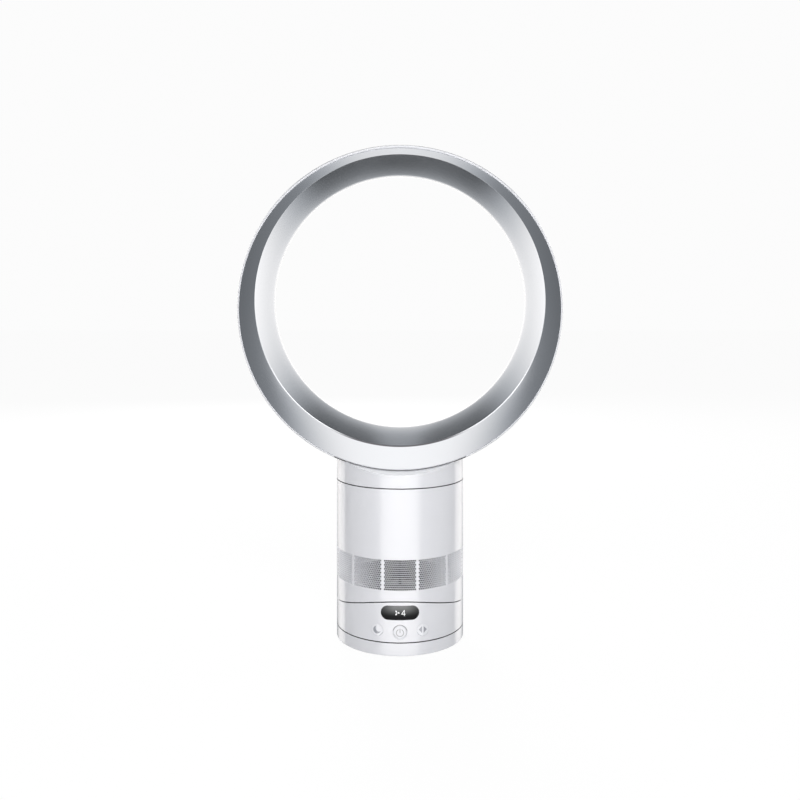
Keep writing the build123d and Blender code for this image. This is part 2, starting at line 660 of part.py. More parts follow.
with BuildPart() as tilt_pads:
    with Locations(*[(x, y, saddle_z(CRADLE_R, y)) for x, y in PAD_PLACES]):
        Box(TILT_PAD[0], TILT_PAD[1], BODY_R)
    tilt_cylinder(UPPER_R + CLEAR + TILT_PAD[2], Mode.INTERSECT)
    tilt_cylinder(UPPER_R + CLEAR, Mode.SUBTRACT)
save(tilt_pads, "tilt_pads")

with BuildPart() as drive_pinion:
    with BuildSketch(Plane((0, DRIVE_Y, GEAR_LOW))):
        with BuildLine():
            Polyline(gear_outline(PINION_TEETH, -pi / 2 + pi / PINION_TEETH), close=True)
        make_face()
        Circle(DRIVE_SHAFT_R + THREAD_PLAY, mode=Mode.SUBTRACT)
    extrude(amount=GEAR_TOP - GEAR_LOW)
save(drive_pinion, "drive_pinion")

with BuildPart() as drive_shaft:
    shaft_top = TURN_TOP + DRIVE_SHAFT_UP
    with Locations((0, DRIVE_Y, (GEAR_LOW + shaft_top) / 2)):
        Cylinder(DRIVE_SHAFT_R, shaft_top - GEAR_LOW)
save(drive_shaft, "drive_shaft")

# ======================================================================================
# Buttons
# ======================================================================================

for label, x, z, radius, dish in BUTTONS:
    lip_r = BORE_R - CLEAR
    stem_root = -sqrt((lip_r - BUTTON_LIP_H) ** 2 - x ** 2) - BUTTON_LIP_H / 2
    stem_tip = SWITCH_FRONT + STEM_IN
    face_y = -sqrt((BODY_R - BUTTON_SUNK) ** 2 - x ** 2)
    dish_r = (radius ** 2 + dish ** 2) / (2 * dish)
    with BuildPart() as button:
        with BuildSketch(Plane.XZ.offset(BODY_R / 2)):
            with Locations((x, z)):
                Circle(radius)
        extrude(amount=BODY_R)
        disc(BODY_R - BUTTON_SUNK, 0, TILT_Z, Mode.INTERSECT)
        disc(lip_r - BUTTON_LIP_H, 0, TILT_Z, Mode.SUBTRACT)
        with BuildPart():
            with BuildSketch(Plane.XZ.offset(BODY_R / 2)):
                with Locations((x, z)):
                    Circle(radius + BUTTON_LIP)
            extrude(amount=BODY_R)
            ring(lip_r, lip_r - BUTTON_LIP_H, TURN_TOP + CLEAR, TILT_Z, Mode.INTERSECT)
        with Locations((x, (stem_root + stem_tip) / 2, z)):
            Cylinder(STEM_R, stem_tip - stem_root, rotation=(90, 0, 0))
        with Locations(Plane.XZ.offset(-face_y)):
            with Locations((x, z, dish_r - dish)):
                Sphere(dish_r, mode=Mode.SUBTRACT)
    save(button, label)

# ======================================================================================
# Main body
# ======================================================================================

PANEL = 360 / PANELS
hole_step = (PANEL - PANEL_GAP) / GRILLE_COLUMNS
row_step = (GRILLE_Z[1] - GRILLE_Z[0]) / GRILLE_ROWS

with BuildPart() as main_casing:
    ring(BODY_R, BORE_R, saddle_z(UPPER_R, 0), MAIN_TOP)
    ring(BORE_R + WALL / 2, SHELF_R, SHELF_LOW, SHELF_TOP)
    tilt_cylinder(UPPER_R, Mode.INTERSECT)
    with Locations((0, LEAD_SIDE_Y, SHELF_TOP)):
        Hole(LEAD_R + GROMMET_WALL, SHELF_H)
    for row in range(GRILLE_ROWS):
        z = GRILLE_Z[0] + row_step * (row + 0.5)
        for column in range(GRILLE_COLUMNS):
            turn = hole_step * (column - (GRILLE_COLUMNS - 1) / 2)
            with Locations((0, 0, z)):
                with PolarLocations(BODY_R, PANELS, start_angle=turn - 90):
                    Cylinder(GRILLE_HOLE_R, 4 * WALL, rotation=(0, 90, 0), mode=Mode.SUBTRACT)
save(main_casing, "main_casing")

with BuildPart() as upper_tilt_plate:
    disc(INSIDE_R, saddle_z(UPPER_R, 0), saddle_z(UPPER_R, BODY_R))
    tilt_cylinder(UPPER_R, Mode.INTERSECT)
    tilt_cylinder(PLATE_TOP_R, Mode.SUBTRACT)
    for side in (-1, 1):
        for end in (-1, 1):
            with Locations((side * SLOT_X, end * KEEPER_SCREW_Y, TILT_Z / 2)):
                Hole(SCREW_R + THREAD_PLAY, TILT_Z / 2)
    with Locations((0, LEAD_Y, TILT_Z / 2)):
        Hole(LEAD_R + GROMMET_WALL, TILT_Z / 2)
save(upper_tilt_plate, "upper_tilt_plate")

keeper_screw_top = saddle_z(PLATE_TOP_R, KEEPER_SCREW_Y + SCREW_HEAD_R)
keeper_screw_low = keeper_screw_top - UPPER_PLATE - KEEPER_SCREW_BITE

with BuildPart() as tilt_keepers:
    for side in (-1, 1):
        with Locations((side * SLOT_X, 0, saddle_z(KEEPER_R, 0))):
            Box(KEEPER_FLANGE, KEEPER_LONG, BODY_R)
    tilt_cylinder(KEEPER_R + KEEPER_H, Mode.INTERSECT)
    tilt_cylinder(KEEPER_R, Mode.SUBTRACT)
    with BuildPart():
        for side in (-1, 1):
            with Locations((side * SLOT_X, 0, saddle_z(KEEPER_R, 0))):
                Box(KEEPER_WEB, KEEPER_LONG, BODY_R)
        tilt_cylinder(KEEPER_R + KEEPER_H / 2, Mode.INTERSECT)
        tilt_cylinder(UPPER_R, Mode.SUBTRACT)
    for side in (-1, 1):
        for end in (-1, 1):
            with Locations((side * SLOT_X, end * KEEPER_SCREW_Y, keeper_screw_low)):
                Cylinder(SCREW_R + THREAD_PLAY, 2 * SCREW_BITE, mode=Mode.SUBTRACT)
save(tilt_keepers, "tilt_keepers")

with BuildPart() as keeper_screws:
    for side in (-1, 1):
        for end in (-1, 1):
            screw(keeper_screw_low, keeper_screw_top, (side * SLOT_X, end * KEEPER_SCREW_Y))
save(keeper_screws, "keeper_screws")

with BuildPart() as lower_foam:
    ring(FOAM_R[1], FOAM_R[0], saddle_z(PLATE_TOP_R, 0), FOAM_TOP)
    tilt_cylinder(PLATE_TOP_R, Mode.INTERSECT)
save(lower_foam, "lower_foam")

with BuildPart() as inlet_seal:
    ring(INLET_SEAL_R[1], INLET_SEAL_R[0], SHELF_TOP, FLANGE_LOW)
save(inlet_seal, "inlet_seal")

with BuildPart() as rubber_mounts:
    with PolarLocations(MOUNT_R, 3, start_angle=-90):
        with Locations((0, 0, SHELF_TOP + MOUNT_H / 2)):
            Cylinder(MOUNT_SIZE, MOUNT_H)
        with Locations((0, 0, FLANGE_LOW + FLANGE_H / 2)):
            Cylinder(MOUNT_NECK, FLANGE_H + FIT)
        with Locations((0, 0, FLANGE_TOP + MOUNT_NECK / 2)):
            Cylinder(MOUNT_SIZE, MOUNT_NECK)
save(rubber_mounts, "rubber_mounts")

with BuildPart() as impeller_housing:
    with BuildSketch(Plane.XZ):
        with BuildLine():
            Polyline(
                (BELL_R, BELL_Z), (BELL_WAIST_R, BELL_WAIST_Z), (THROAT_R, THROAT_Z),
                (HOUSING_R, CONE_TOP), (HOUSING_R, HOUSING_TOP), (HOUSING_R + HOUSING_WALL, HOUSING_TOP),
                (HOUSING_R + HOUSING_WALL, CONE_TOP - CORNER),
                (cone_r(FLANGE_TOP) + CONE_WALL, FLANGE_TOP),
                (FLANGE_R, FLANGE_TOP), (FLANGE_R, FLANGE_LOW),
                (cone_r(FLANGE_LOW) + CONE_WALL, FLANGE_LOW),
                (THROAT_R + HOUSING_WALL, BELL_WAIST_Z + CORNER),
                (BELL_R + BELL_EDGE[0], BELL_Z + BELL_EDGE[1]), close=True)
        make_face()
    revolve(axis=Axis.Z)
    with PolarLocations(MOUNT_R, 3, start_angle=-90):
        with Locations((0, 0, FLANGE_TOP)):
            Hole(MOUNT_NECK + THREAD_PLAY, FLANGE_H)
    with Locations((0, LEAD_SIDE_Y, FLANGE_TOP)):
        Hole(LEAD_R + GROMMET_WALL, FLANGE_H)
    with Locations((0, HOUSING_R, LEAD_TOP)):
        Cylinder(LEAD_R + GROMMET_WALL, 4 * HOUSING_WALL, rotation=(90, 0, 0), mode=Mode.SUBTRACT)
save(impeller_housing, "impeller_housing")

with BuildPart() as diffuser:
    ring(HOUSING_R - FIT, HOUSING_R - FIT - DIFFUSER_WALL, *DIFFUSER_Z)
    ring(BUCKET_R + FIT + DIFFUSER_WALL, BUCKET_R + FIT, *DIFFUSER_Z)
    with BuildPart():
        with BuildSketch(Plane.XY.offset(DIFFUSER_Z[0])):
            with PolarLocations(0, VANES):
                SlotArc(SagittaArc((BUCKET_R, 0), (HOUSING_R - DIFFUSER_WALL, 0), VANE_BOW), VANE_T)
        extrude(amount=DIFFUSER_Z[1] - DIFFUSER_Z[0])
        ring(HOUSING_R - DIFFUSER_WALL, BUCKET_R + DIFFUSER_WALL, *DIFFUSER_Z, Mode.INTERSECT)
    with Locations((0, HOUSING_R, LEAD_TOP)):
        Cylinder(LEAD_R + GROMMET_WALL, 4 * HOUSING_WALL, rotation=(90, 0, 0), mode=Mode.SUBTRACT)
save(diffuser, "diffuser")

with BuildPart() as motor_bucket:
    disc(BUCKET_R, *BUCKET_Z)
    disc(BUCKET_R - BUCKET_WALL, BUCKET_Z[0] + BUCKET_WALL, BUCKET_Z[1], Mode.SUBTRACT)
    disc(BEARING_R + BEARING_WALL, BUCKET_Z[0], LOW_BEARING_Z + BEARING_H)
    disc(BEARING_R + THREAD_PLAY, LOW_BEARING_Z, BUCKET_Z[1], Mode.SUBTRACT)
    disc(SHAFT_R + CLEAR, BUCKET_Z[0], BUCKET_Z[1], Mode.SUBTRACT)
save(motor_bucket, "motor_bucket")

with BuildPart() as bucket_cap:
    disc(BUCKET_R, BUCKET_Z[1], BUCKET_Z[1] + CAP_H)
    fillet(bucket_cap.edges().group_by(Axis.Z)[-1], CAP_H / 2)
    disc(BEARING_R + BEARING_WALL, TOP_BEARING_Z, BUCKET_Z[1] + CAP_H / 2)
    disc(BEARING_R + THREAD_PLAY, TOP_BEARING_Z, TOP_BEARING_Z + BEARING_H, Mode.SUBTRACT)
    disc(SHAFT_R + CLEAR, TOP_BEARING_Z, SHAFT_Z[1] + CLEAR, Mode.SUBTRACT)
save(bucket_cap, "bucket_cap")

with BuildPart() as cap_foam:
    disc(CAP_FOAM_R, BUCKET_Z[1] + CAP_H, BUCKET_Z[1] + CAP_H + CAP_FOAM_H)
    fillet(cap_foam.edges().group_by(Axis.Z)[-1], CAP_FOAM_H / 3)
save(cap_foam, "cap_foam")

with BuildPart() as motor_bearings:
    for low in (LOW_BEARING_Z, TOP_BEARING_Z):
        ring(BEARING_R, SHAFT_R + RUN, low, low + BEARING_H)
save(motor_bearings, "motor_bearings")

with BuildPart() as motor_stator:
    with PolarLocations(TOOTH_MID, STATOR_TEETH):
        with Locations((0, 0, STATOR_MID)):
            Box(TOOTH_LONG, TOOTH_W, STATOR_H)
    disc(ROTOR_R + AIR_GAP, *STATOR_Z, Mode.SUBTRACT)
    ring(STATOR_R, STATOR_R - STATOR_YOKE, *STATOR_Z)
save(motor_stator, "motor_stator")

with BuildPart() as motor_coils:
    with PolarLocations(COIL_MID, STATOR_TEETH):
        with Locations((0, 0, STATOR_MID)):
            Box(COIL_LONG, COIL_W, STATOR_H + COIL_W - TOOTH_W)
            Box(COIL_LONG, TOOTH_W + FIT, STATOR_H + FIT, mode=Mode.SUBTRACT)
save(motor_coils, "motor_coils")

LEAD_BOTTOM = saddle_z(UPPER_R, LEAD_Y)

with BuildPart() as motor_lead:
    with BuildLine():
        FilletPolyline(
            (0, LEAD_Y, LEAD_BOTTOM), (0, LEAD_Y, LEAD_BOTTOM + LEAD_RISE), (0, LEAD_SIDE_Y, SHELF_LOW - LEAD_UNDER),
            (0, LEAD_SIDE_Y, LEAD_TOP), (0, HOUSING_R, LEAD_TOP), radius=LEAD_BEND_R)
    with BuildSketch(Plane.XY.offset(LEAD_BOTTOM)):
        with Locations((0, LEAD_Y)):
            Circle(LEAD_R)
    sweep()
save(motor_lead, "motor_lead")

with BuildPart() as lead_grommets:
    hole_r = LEAD_R + GROMMET_WALL - THREAD_PLAY
    for y, low, high in (
        (LEAD_Y, LEAD_BOTTOM + GROMMET_LIP, saddle_z(PLATE_TOP_R, LEAD_Y) + GROMMET_LIP),
        (LEAD_SIDE_Y, FLANGE_LOW - GROMMET_LIP, FLANGE_TOP + GROMMET_LIP),
        (LEAD_SIDE_Y, SHELF_LOW - GROMMET_LIP, SHELF_TOP + GROMMET_LIP),
    ):
        with Locations((0, y, (low + high) / 2)):
            Cylinder(hole_r, high - low)
            Cylinder(LEAD_R + THREAD_PLAY, high - low, mode=Mode.SUBTRACT)
    with Locations((0, HOUSING_R + HOUSING_WALL / 2, LEAD_TOP)):
        Cylinder(hole_r, 2 * HOUSING_WALL, rotation=(90, 0, 0))
        Cylinder(LEAD_R + THREAD_PLAY, 2 * HOUSING_WALL, rotation=(90, 0, 0), mode=Mode.SUBTRACT)
save(lead_grommets, "lead_grommets")

with BuildPart() as bayonet_ring:
    ring(INSIDE_R, INSIDE_R - RING_SKIRT, RING_SKIRT_LOW, MAIN_TOP)
    ring(INSIDE_R, DUCT_R + DUCT_WALL + CLEAR, MAIN_TOP - RING_FLANGE, MAIN_TOP)
    with BuildPart(mode=Mode.SUBTRACT):
        disc(DUCT_R + DUCT_WALL + LUG_OUT + CLEAR, RING_SKIRT_LOW, MAIN_TOP)
        add(sectors(TWIST, NOTCH_ARC, RING_SKIRT_LOW, MAIN_TOP), mode=Mode.INTERSECT)
save(bayonet_ring, "bayonet_ring")

# ======================================================================================
# Impeller, rotor and shaft
# ======================================================================================

blade_top = IMPELLER_Z[1] - BLADE_SHORT

with BuildPart() as impeller:
    with BuildSketch(Plane.XY.offset(IMPELLER_Z[0])):
        with PolarLocations(0, BLADES):
            SlotArc(SagittaArc((SHAFT_R, 0), (HOUSING_R, 0), BLADE_BOW), BLADE_T)
    extrude(amount=IMPELLER_Z[1] - IMPELLER_Z[0])
    with BuildPart(mode=Mode.INTERSECT):
        with BuildSketch(Plane.XZ):
            with BuildLine():
                Polyline(
                    (SHAFT_R, IMPELLER_Z[0]), (cone_r(IMPELLER_Z[0]) - TIP_GAP - BLADE_CUT, IMPELLER_Z[0]),
                    (cone_r(THROAT_Z) - TIP_GAP, THROAT_Z),
                    (cone_r(blade_top) - TIP_GAP, blade_top), (SHAFT_R, blade_top), close=True)
            make_face()
        revolve(axis=Axis.Z)
    with BuildPart():
        with BuildSketch(Plane.XZ):
            with BuildLine():
                Polyline(
                    (SHAFT_R, IMPELLER_Z[0]), (HUB_CONE[0], IMPELLER_Z[0]),
                    (HUB_CONE[1], IMPELLER_Z[1] - HUB_RIM), (HUB_CONE[1], IMPELLER_Z[1]),
                    (SHAFT_R, IMPELLER_Z[1]), close=True)
            make_face()
        revolve(axis=Axis.Z)
    disc(SHAFT_R + THREAD_PLAY, *IMPELLER_Z, Mode.SUBTRACT)
save(impeller, "impeller")

with BuildPart() as motor_rotor:
    ring(ROTOR_R, SHAFT_R + THREAD_PLAY, *STATOR_Z)
save(motor_rotor, "motor_rotor")

with BuildPart() as motor_shaft:
    disc(SHAFT_R, *SHAFT_Z)
save(motor_shaft, "motor_shaft")

# ======================================================================================
# Loop: an off-centre outer casing, with the silver casing and the air slot inside it
# ======================================================================================

OPENING_AXIS = Axis((0, 0, INNER_Z), (0, 1, 0))


def casing_block(sections, inset):
    """A solid block through the casing's sections, its radius less by the inset."""
    with BuildPart(mode=Mode.PRIVATE) as block:
        for y, rise, drop in sections:
            with BuildSketch(Plane.XZ.offset(-y)):
                with Locations((0, LOOP_Z + rise)):
                    Circle(LOOP_R - drop - inset)
        loft()
    return block.part


def section(y, axis_z, radius):
    """One section of a casing, from real sizes."""
    return (y, axis_z - LOOP_Z, LOOP_R - radius)


def about_opening(points):
    """Points given as (y, radius about the opening's axis), as places in the YZ plane."""
    return [(y, INNER_Z + r) for y, r in points]


bevel_seat = [section(y, RIM_Z, RIM[1] + FIT) for y in (CASING[0][0], RIM[0] + SEAT_DEEP)]
casing_hollow = [bevel_seat[1]] + [(y, rise, drop + LOOP_WALL) for y, rise, drop in CASING[3:]]

with BuildPart() as loop_outer_casing:
    add(casing_block(CASING, 0))
    add(casing_block(bevel_seat, 0), mode=Mode.SUBTRACT)
    add(casing_block(casing_hollow, 0), mode=Mode.SUBTRACT)
    # the rear turns inwards and ends in the lip of the air slot
    with BuildSketch(Plane.YZ):
        outer = about_opening([(REAR[0], REAR[1]), REAR_BULGE, LIP_BEND, LIP_TIP])
        inner = about_opening([
            (LIP_TIP[0], LIP_TIP[1] + LIP_T), LIP_INSIDE,
            (REAR_BULGE[0] - LOOP_WALL, REAR_BULGE[1]), (REAR[0], REAR[1] - LOOP_WALL)])
        with BuildLine():
            ThreePointArc(outer[0], outer[1], outer[2])
            Line(outer[2], outer[3])
            Line(outer[3], inner[0])
            Line(inner[0], inner[1])
            ThreePointArc(inner[1], inner[2], inner[3])
            Line(inner[3], outer[0])
        make_face()
    revolve(axis=OPENING_AXIS)
    with Locations((0, DUCT_HOLE_Y, LOOP_Z - LOOP_R)):
        Box(DUCT_HOLE[0], DUCT_HOLE[1], NECK_SADDLE_R / 3, mode=Mode.SUBTRACT)
save(loop_outer_casing, "loop_outer_casing")


def flare_profile(extra, start, end):
    """The silver casing's inside, extra further out, from start to end along Y."""
    slope = (CREASE[1] - SLOT_EDGE[1]) / (SLOT_EDGE[0] - CREASE[0])
    tail = (FLARE_END[1] - SLOT_EDGE[1]) / (FLARE_END[0] - SLOT_EDGE[0])
    front = (start, CREASE[1] + slope * (CREASE[0] - start) + extra)
    middle = (SLOT_EDGE[0], SLOT_EDGE[1] + extra)
    rear = (end, FLARE_END[1] + tail * (end - FLARE_END[0]) + extra)
    return about_opening([(start, 0), front, middle, rear, (end, 0)])


with BuildPart() as loop_inner_casing:
    tip = section(
        CREASE[0] - BEVEL_OVER * (RIM[0] - CREASE[0]), INNER_Z - BEVEL_OVER * (RIM_Z - INNER_Z),
        CREASE[1] - BEVEL_OVER * (RIM[1] - CREASE[1]))
    rim = section(RIM[0], RIM_Z, RIM[1])
    back_tip = (tip[0] + SILVER, tip[1], tip[2])
    back_rim = (rim[0] + SILVER, rim[1], rim[2])
    start = tip[0] - SILVER
    with Locations((0, (start + back_rim[0]) / 2, RIM_Z)):
        Cylinder(RIM[1] + SILVER, back_rim[0] - start, rotation=(90, 0, 0))
    add(casing_block([back_tip, back_rim], 0), mode=Mode.SUBTRACT)
    with BuildPart():
        with BuildSketch(Plane.YZ):
            with BuildLine():
                Polyline(*flare_profile(SILVER, start, FLARE_END[0]), close=True)
            make_face()
        revolve(axis=OPENING_AXIS)
    with BuildPart(mode=Mode.SUBTRACT):
        with BuildSketch(Plane.YZ):
            with BuildLine():
                Polyline(*flare_profile(0, start - SILVER, FLARE_END[0] + SILVER), close=True)
            make_face()
        revolve(axis=OPENING_AXIS)
    with BuildPart(mode=Mode.INTERSECT):
        add(casing_block([tip, rim], 0))
        add(casing_block([rim, section(FLARE_END[0] + SILVER, RIM_Z, RIM[1])], 0))
save(loop_inner_casing, "loop_inner_casing")


def lip_r(y):
    """Radius of the lip's inside, about the opening's axis."""
    slope = (LIP_INSIDE[1] - LIP_TIP[1] - LIP_T) / (LIP_INSIDE[0] - LIP_TIP[0])
    return LIP_TIP[1] + LIP_T + slope * (y - LIP_TIP[0])


def flare_r(y):
    """Radius of the silver casing behind the slot's edge."""
    slope = (FLARE_END[1] - SLOT_EDGE[1]) / (FLARE_END[0] - SLOT_EDGE[0])
    return SLOT_EDGE[1] + slope * (y - SLOT_EDGE[0])


with BuildPart(mode=Mode.PRIVATE) as spacer:
    with BuildSketch(Plane.YZ):
        corners = [(y, lip_r(y) + THREAD_PLAY) for y in SPACER_Y]
        corners += [(y, flare_r(y) - THREAD_PLAY) for y in reversed(SPACER_Y)]
        with BuildLine():
            Polyline(*about_opening(corners), close=True)
        make_face()
    extrude(amount=SPACER_T / 2, both=True)

with BuildPart() as slot_spacers:
    for place in range(SPACERS):
        add(spacer.part.rotate(OPENING_AXIS, 360 * (place + 0.5) / SPACERS))
save(slot_spacers, "slot_spacers")


def loop_cylinder(radius, mode):
    """A cylinder about the outer casing's axis, to cut or trim the neck with."""
    with Locations((0, 0, LOOP_Z)):
        Cylinder(radius, 4 * BODY_R, rotation=(90, 0, 0), mode=mode)


casing_room = casing_block(CASING, -FIT)

with BuildPart() as neck_collar:
    disc(BODY_R, NECK_Z, LOOP_Z - NECK_SADDLE_R + BODY_R / 4)
    loop_cylinder(NECK_SADDLE_R, Mode.SUBTRACT)
    with BuildPart(mode=Mode.SUBTRACT):
        disc(BORE_R, NECK_Z + NECK_FLOOR, LOOP_Z)
        loop_cylinder(NECK_SADDLE_R + WALL, Mode.SUBTRACT)
    disc(DUCT_R + DUCT_WALL + FIT, NECK_Z, NECK_Z + NECK_FLOOR, Mode.SUBTRACT)
    add(casing_room, mode=Mode.SUBTRACT)
save(neck_collar, "neck_collar")

with BuildPart() as neck_duct:
    disc(DUCT_R + DUCT_WALL, DUCT_LOW, DUCT_TOP)
    disc(DUCT_R + DUCT_WALL + LUG_OUT, NECK_Z + NECK_FLOOR, NECK_Z + 2 * NECK_FLOOR)
    with BuildPart():
        add(sectors(0, LUG_ARC, LUG_Z, LUG_Z + LUG_H))
        disc(DUCT_R + DUCT_WALL + LUG_OUT, DUCT_LOW, MAIN_TOP, Mode.INTERSECT)
    disc(DUCT_R, DUCT_LOW, LOOP_Z, Mode.SUBTRACT)
    add(casing_room, mode=Mode.SUBTRACT)
save(neck_duct, "neck_duct")

with BuildPart() as neck_seal:
    ring(DUCT_R + DUCT_WALL, HOUSING_R, DUCT_LOW - SEAL_H, DUCT_LOW)
save(neck_seal, "neck_seal")
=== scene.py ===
# %% [markdown]
# # A bladeless desk fan
#
# The engineering model of the fan arrives as a fixed frame: every piece is in its real place, in
# metres, with the front towards -Y. This lesson dresses it. Hidden pieces only get a finish.
# Visible casings are modelled again with rounded edges and the full pattern of intake holes.

# %% Load the fixed frame
import json
from math import atan2, cos, hypot, pi, radians, sin, sqrt

import bmesh
import bpy
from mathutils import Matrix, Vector


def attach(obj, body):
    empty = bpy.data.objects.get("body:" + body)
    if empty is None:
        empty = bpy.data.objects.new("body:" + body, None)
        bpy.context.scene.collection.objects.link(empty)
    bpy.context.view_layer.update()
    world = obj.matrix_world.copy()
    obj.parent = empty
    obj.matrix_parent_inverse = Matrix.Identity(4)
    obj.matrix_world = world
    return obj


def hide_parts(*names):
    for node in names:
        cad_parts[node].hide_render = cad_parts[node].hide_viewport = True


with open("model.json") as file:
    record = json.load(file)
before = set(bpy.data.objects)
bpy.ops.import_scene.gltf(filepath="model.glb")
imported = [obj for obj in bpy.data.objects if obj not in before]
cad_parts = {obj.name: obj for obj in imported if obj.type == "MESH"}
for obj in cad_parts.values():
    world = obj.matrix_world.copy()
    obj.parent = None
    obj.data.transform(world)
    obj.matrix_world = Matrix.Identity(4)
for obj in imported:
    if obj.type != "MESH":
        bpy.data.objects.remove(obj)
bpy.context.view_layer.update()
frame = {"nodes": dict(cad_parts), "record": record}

NODES = frame["nodes"]
MM = 0.001

# %% [markdown]
# ## Working in edit mode
#
# An operator acts on all that is selected, so each step starts with nothing selected and picks
# its points by where they lie. Four small helpers do that: one puts all down, one takes an object,
# one opens it in edit mode, and one picks in its mesh.

# %% Helpers for selecting
def put_down():
    """Leave edit mode with nothing selected."""
    if bpy.context.mode != "OBJECT":
        bpy.ops.object.mode_set(mode="OBJECT")
    bpy.ops.object.select_all(action="DESELECT")


def take(obj):
    """Make one object the only selected and active one."""
    put_down()
    obj.select_set(True)
    bpy.context.view_layer.objects.active = obj


def open_mesh(obj):
    """Open an object in edit mode with nothing selected in its mesh."""
    take(obj)
    bpy.ops.object.mode_set(mode="EDIT")
    bpy.ops.mesh.select_mode(type="VERT")
    bpy.ops.mesh.select_all(action="DESELECT")


def pick(obj, test, kind="VERT"):
    """In edit mode, select only the elements whose middle passes the test."""
    bpy.ops.mesh.select_mode(type=kind)
    bpy.ops.mesh.select_all(action="DESELECT")
    mesh = bmesh.from_edit_mesh(obj.data)
    for item in {"VERT": mesh.verts, "EDGE": mesh.edges, "FACE": mesh.faces}[kind]:
        points = [item.co] if kind == "VERT" else [vert.co for vert in item.verts]
        if test(sum(points, Vector()) / len(points)):
            item.select_set(True)
    mesh.select_flush_mode()
    bmesh.update_edit_mesh(obj.data)


print("selecting ready")

# %% [markdown]
# Modifiers do the heavier work. They are added, set and applied in one go, so that the next step
# finds a finished mesh. A cut is a Boolean modifier whose tool is put away afterwards. It leaves
# doubled points here and there, so a cut piece is cleaned before its edges are rounded.

# %% Helpers for modifiers and cuts
def modify(obj, kind, **settings):
    """Add one modifier and apply it."""
    take(obj)
    modifier = obj.modifiers.new(kind.title(), kind)
    for key, value in settings.items():
        setattr(modifier, key, value)
    bpy.ops.object.modifier_apply(modifier=modifier.name)


def cut(obj, tool, operation="DIFFERENCE"):
    """Cut or trim an object with a tool, and put the tool away."""
    modify(obj, "BOOLEAN", operation=operation, object=tool, solver="EXACT")
    bpy.data.objects.remove(tool)


def tidy_mesh(obj):
    """Merge doubled points and turn all faces outwards."""
    open_mesh(obj)
    bpy.ops.mesh.select_all(action="SELECT")
    bpy.ops.mesh.remove_doubles(threshold=0.002 * MM)
    bpy.ops.mesh.normals_make_consistent(inside=False)
    put_down()


def round_edges(obj, width, steps=2, angle=35):
    """Round the sharp edges of a piece."""
    modify(obj, "BEVEL", width=width, segments=steps, limit_method="ANGLE",
           angle_limit=radians(angle), use_clamp_overlap=True)


print("modifiers and cuts ready")

# %% [markdown]
# Nearly all pieces and all tools start as a circle, a cylinder or a cube. Each is added at its size
# and place, and then its place is moved into its mesh, because the object of a finished piece sits
# at the origin, unturned and unscaled.

# %% Circles, drums and blocks
def settle(obj, name):
    """Name a new primitive and move its place into its mesh."""
    take(obj)
    bpy.ops.object.transform_apply(location=True, rotation=True, scale=True)
    obj.name = name
    return obj


def circle(name, radius, place, sides, axis="Z"):
    """An open circle around an axis."""
    put_down()
    turn = {"Z": (0, 0, 0), "Y": (radians(90), 0, 0)}[axis]
    bpy.ops.mesh.primitive_circle_add(vertices=sides, radius=radius, location=place, rotation=turn)
    return settle(bpy.context.object, name)


def drum(name, radius, low, high, sides=256, axis="Z", at=(0, 0)):
    """A closed cylinder between two places along an axis, used to cut or trim with."""
    put_down()
    middle = (low + high) / 2
    place = {"X": (middle, *at), "Y": (at[0], middle, at[1]), "Z": (*at, middle)}[axis]
    turn = {"X": (0, radians(90), 0), "Y": (radians(90), 0, 0), "Z": (0, 0, 0)}[axis]
    bpy.ops.mesh.primitive_cylinder_add(
        vertices=sides, radius=radius, depth=high - low, location=place, rotation=turn)
    return settle(bpy.context.object, name)


def block(name, size, place):
    """A box of this size, used to cut or trim with."""
    put_down()
    bpy.ops.mesh.primitive_cube_add(size=1, location=place)
    bpy.context.object.scale = size
    return settle(bpy.context.object, name)


print("primitives ready")

# %% [markdown]
# Round pieces are drawn out of a circle ring by ring, as on a lathe: the ring is extruded, moved and
# resized from one station to the next. Where the last ring comes back to the first, the two are
# bridged. Where it ends elsewhere, both ends are capped.

# %% Growing a piece ring by ring
def grow_rings(obj, stations, axis="Y"):
    """Extrude the open circle that obj starts as through stations of (along, centre z, radius)."""
    open_mesh(obj)
    bpy.ops.mesh.select_all(action="SELECT")
    along, z, radius = stations[0]
    for next_along, next_z, next_radius in stations[1:]:
        step = (0, next_along - along, next_z - z) if axis == "Y" else (0, 0, next_along - along)
        bpy.ops.mesh.extrude_region_move(TRANSFORM_OT_translate={"value": step})
        centre = (0, next_along, next_z) if axis == "Y" else (0, 0, next_along)
        ratio = next_radius / radius
        bpy.ops.transform.resize(value=(ratio, ratio, ratio), center_override=centre)
        along, z, radius = next_along, next_z, next_radius
    put_down()


def pick_borders(obj):
    """Open a mesh and select the edges where its skin ends."""
    open_mesh(obj)
    bpy.ops.mesh.select_mode(type="EDGE")
    bpy.ops.mesh.select_non_manifold(extend=False, use_wire=False, use_boundary=True,
                                     use_multi_face=False, use_non_contiguous=False, use_verts=False)


def close_rings(obj):
    """Bridge the first and the last ring of an extruded wall into a closed skin."""
    pick_borders(obj)
    bpy.ops.mesh.bridge_edge_loops()
    tidy_mesh(obj)


def cap_ends(obj):
    """Close both ends of an extruded wall with flat faces."""
    pick_borders(obj)
    bpy.ops.mesh.edge_face_add()
    tidy_mesh(obj)


def lathe(name, profile, sides):
    """Turn a closed profile of (height, radius) round the fan's axis."""
    obj = circle(name, profile[0][1], (0, 0, profile[0][0]), sides)
    grow_rings(obj, [(height, 0, radius) for height, radius in profile], "Z")
    close_rings(obj)
    return obj


print("rings ready")

# %% [markdown]
# ## Writing shader maths as Python
#
# A procedural finish is built from nodes, and long chains of Math nodes are hard to read. So a
# small class wraps a socket and adds a Math node for each operator, also where a plain number comes
# first, as in 1 - mask.

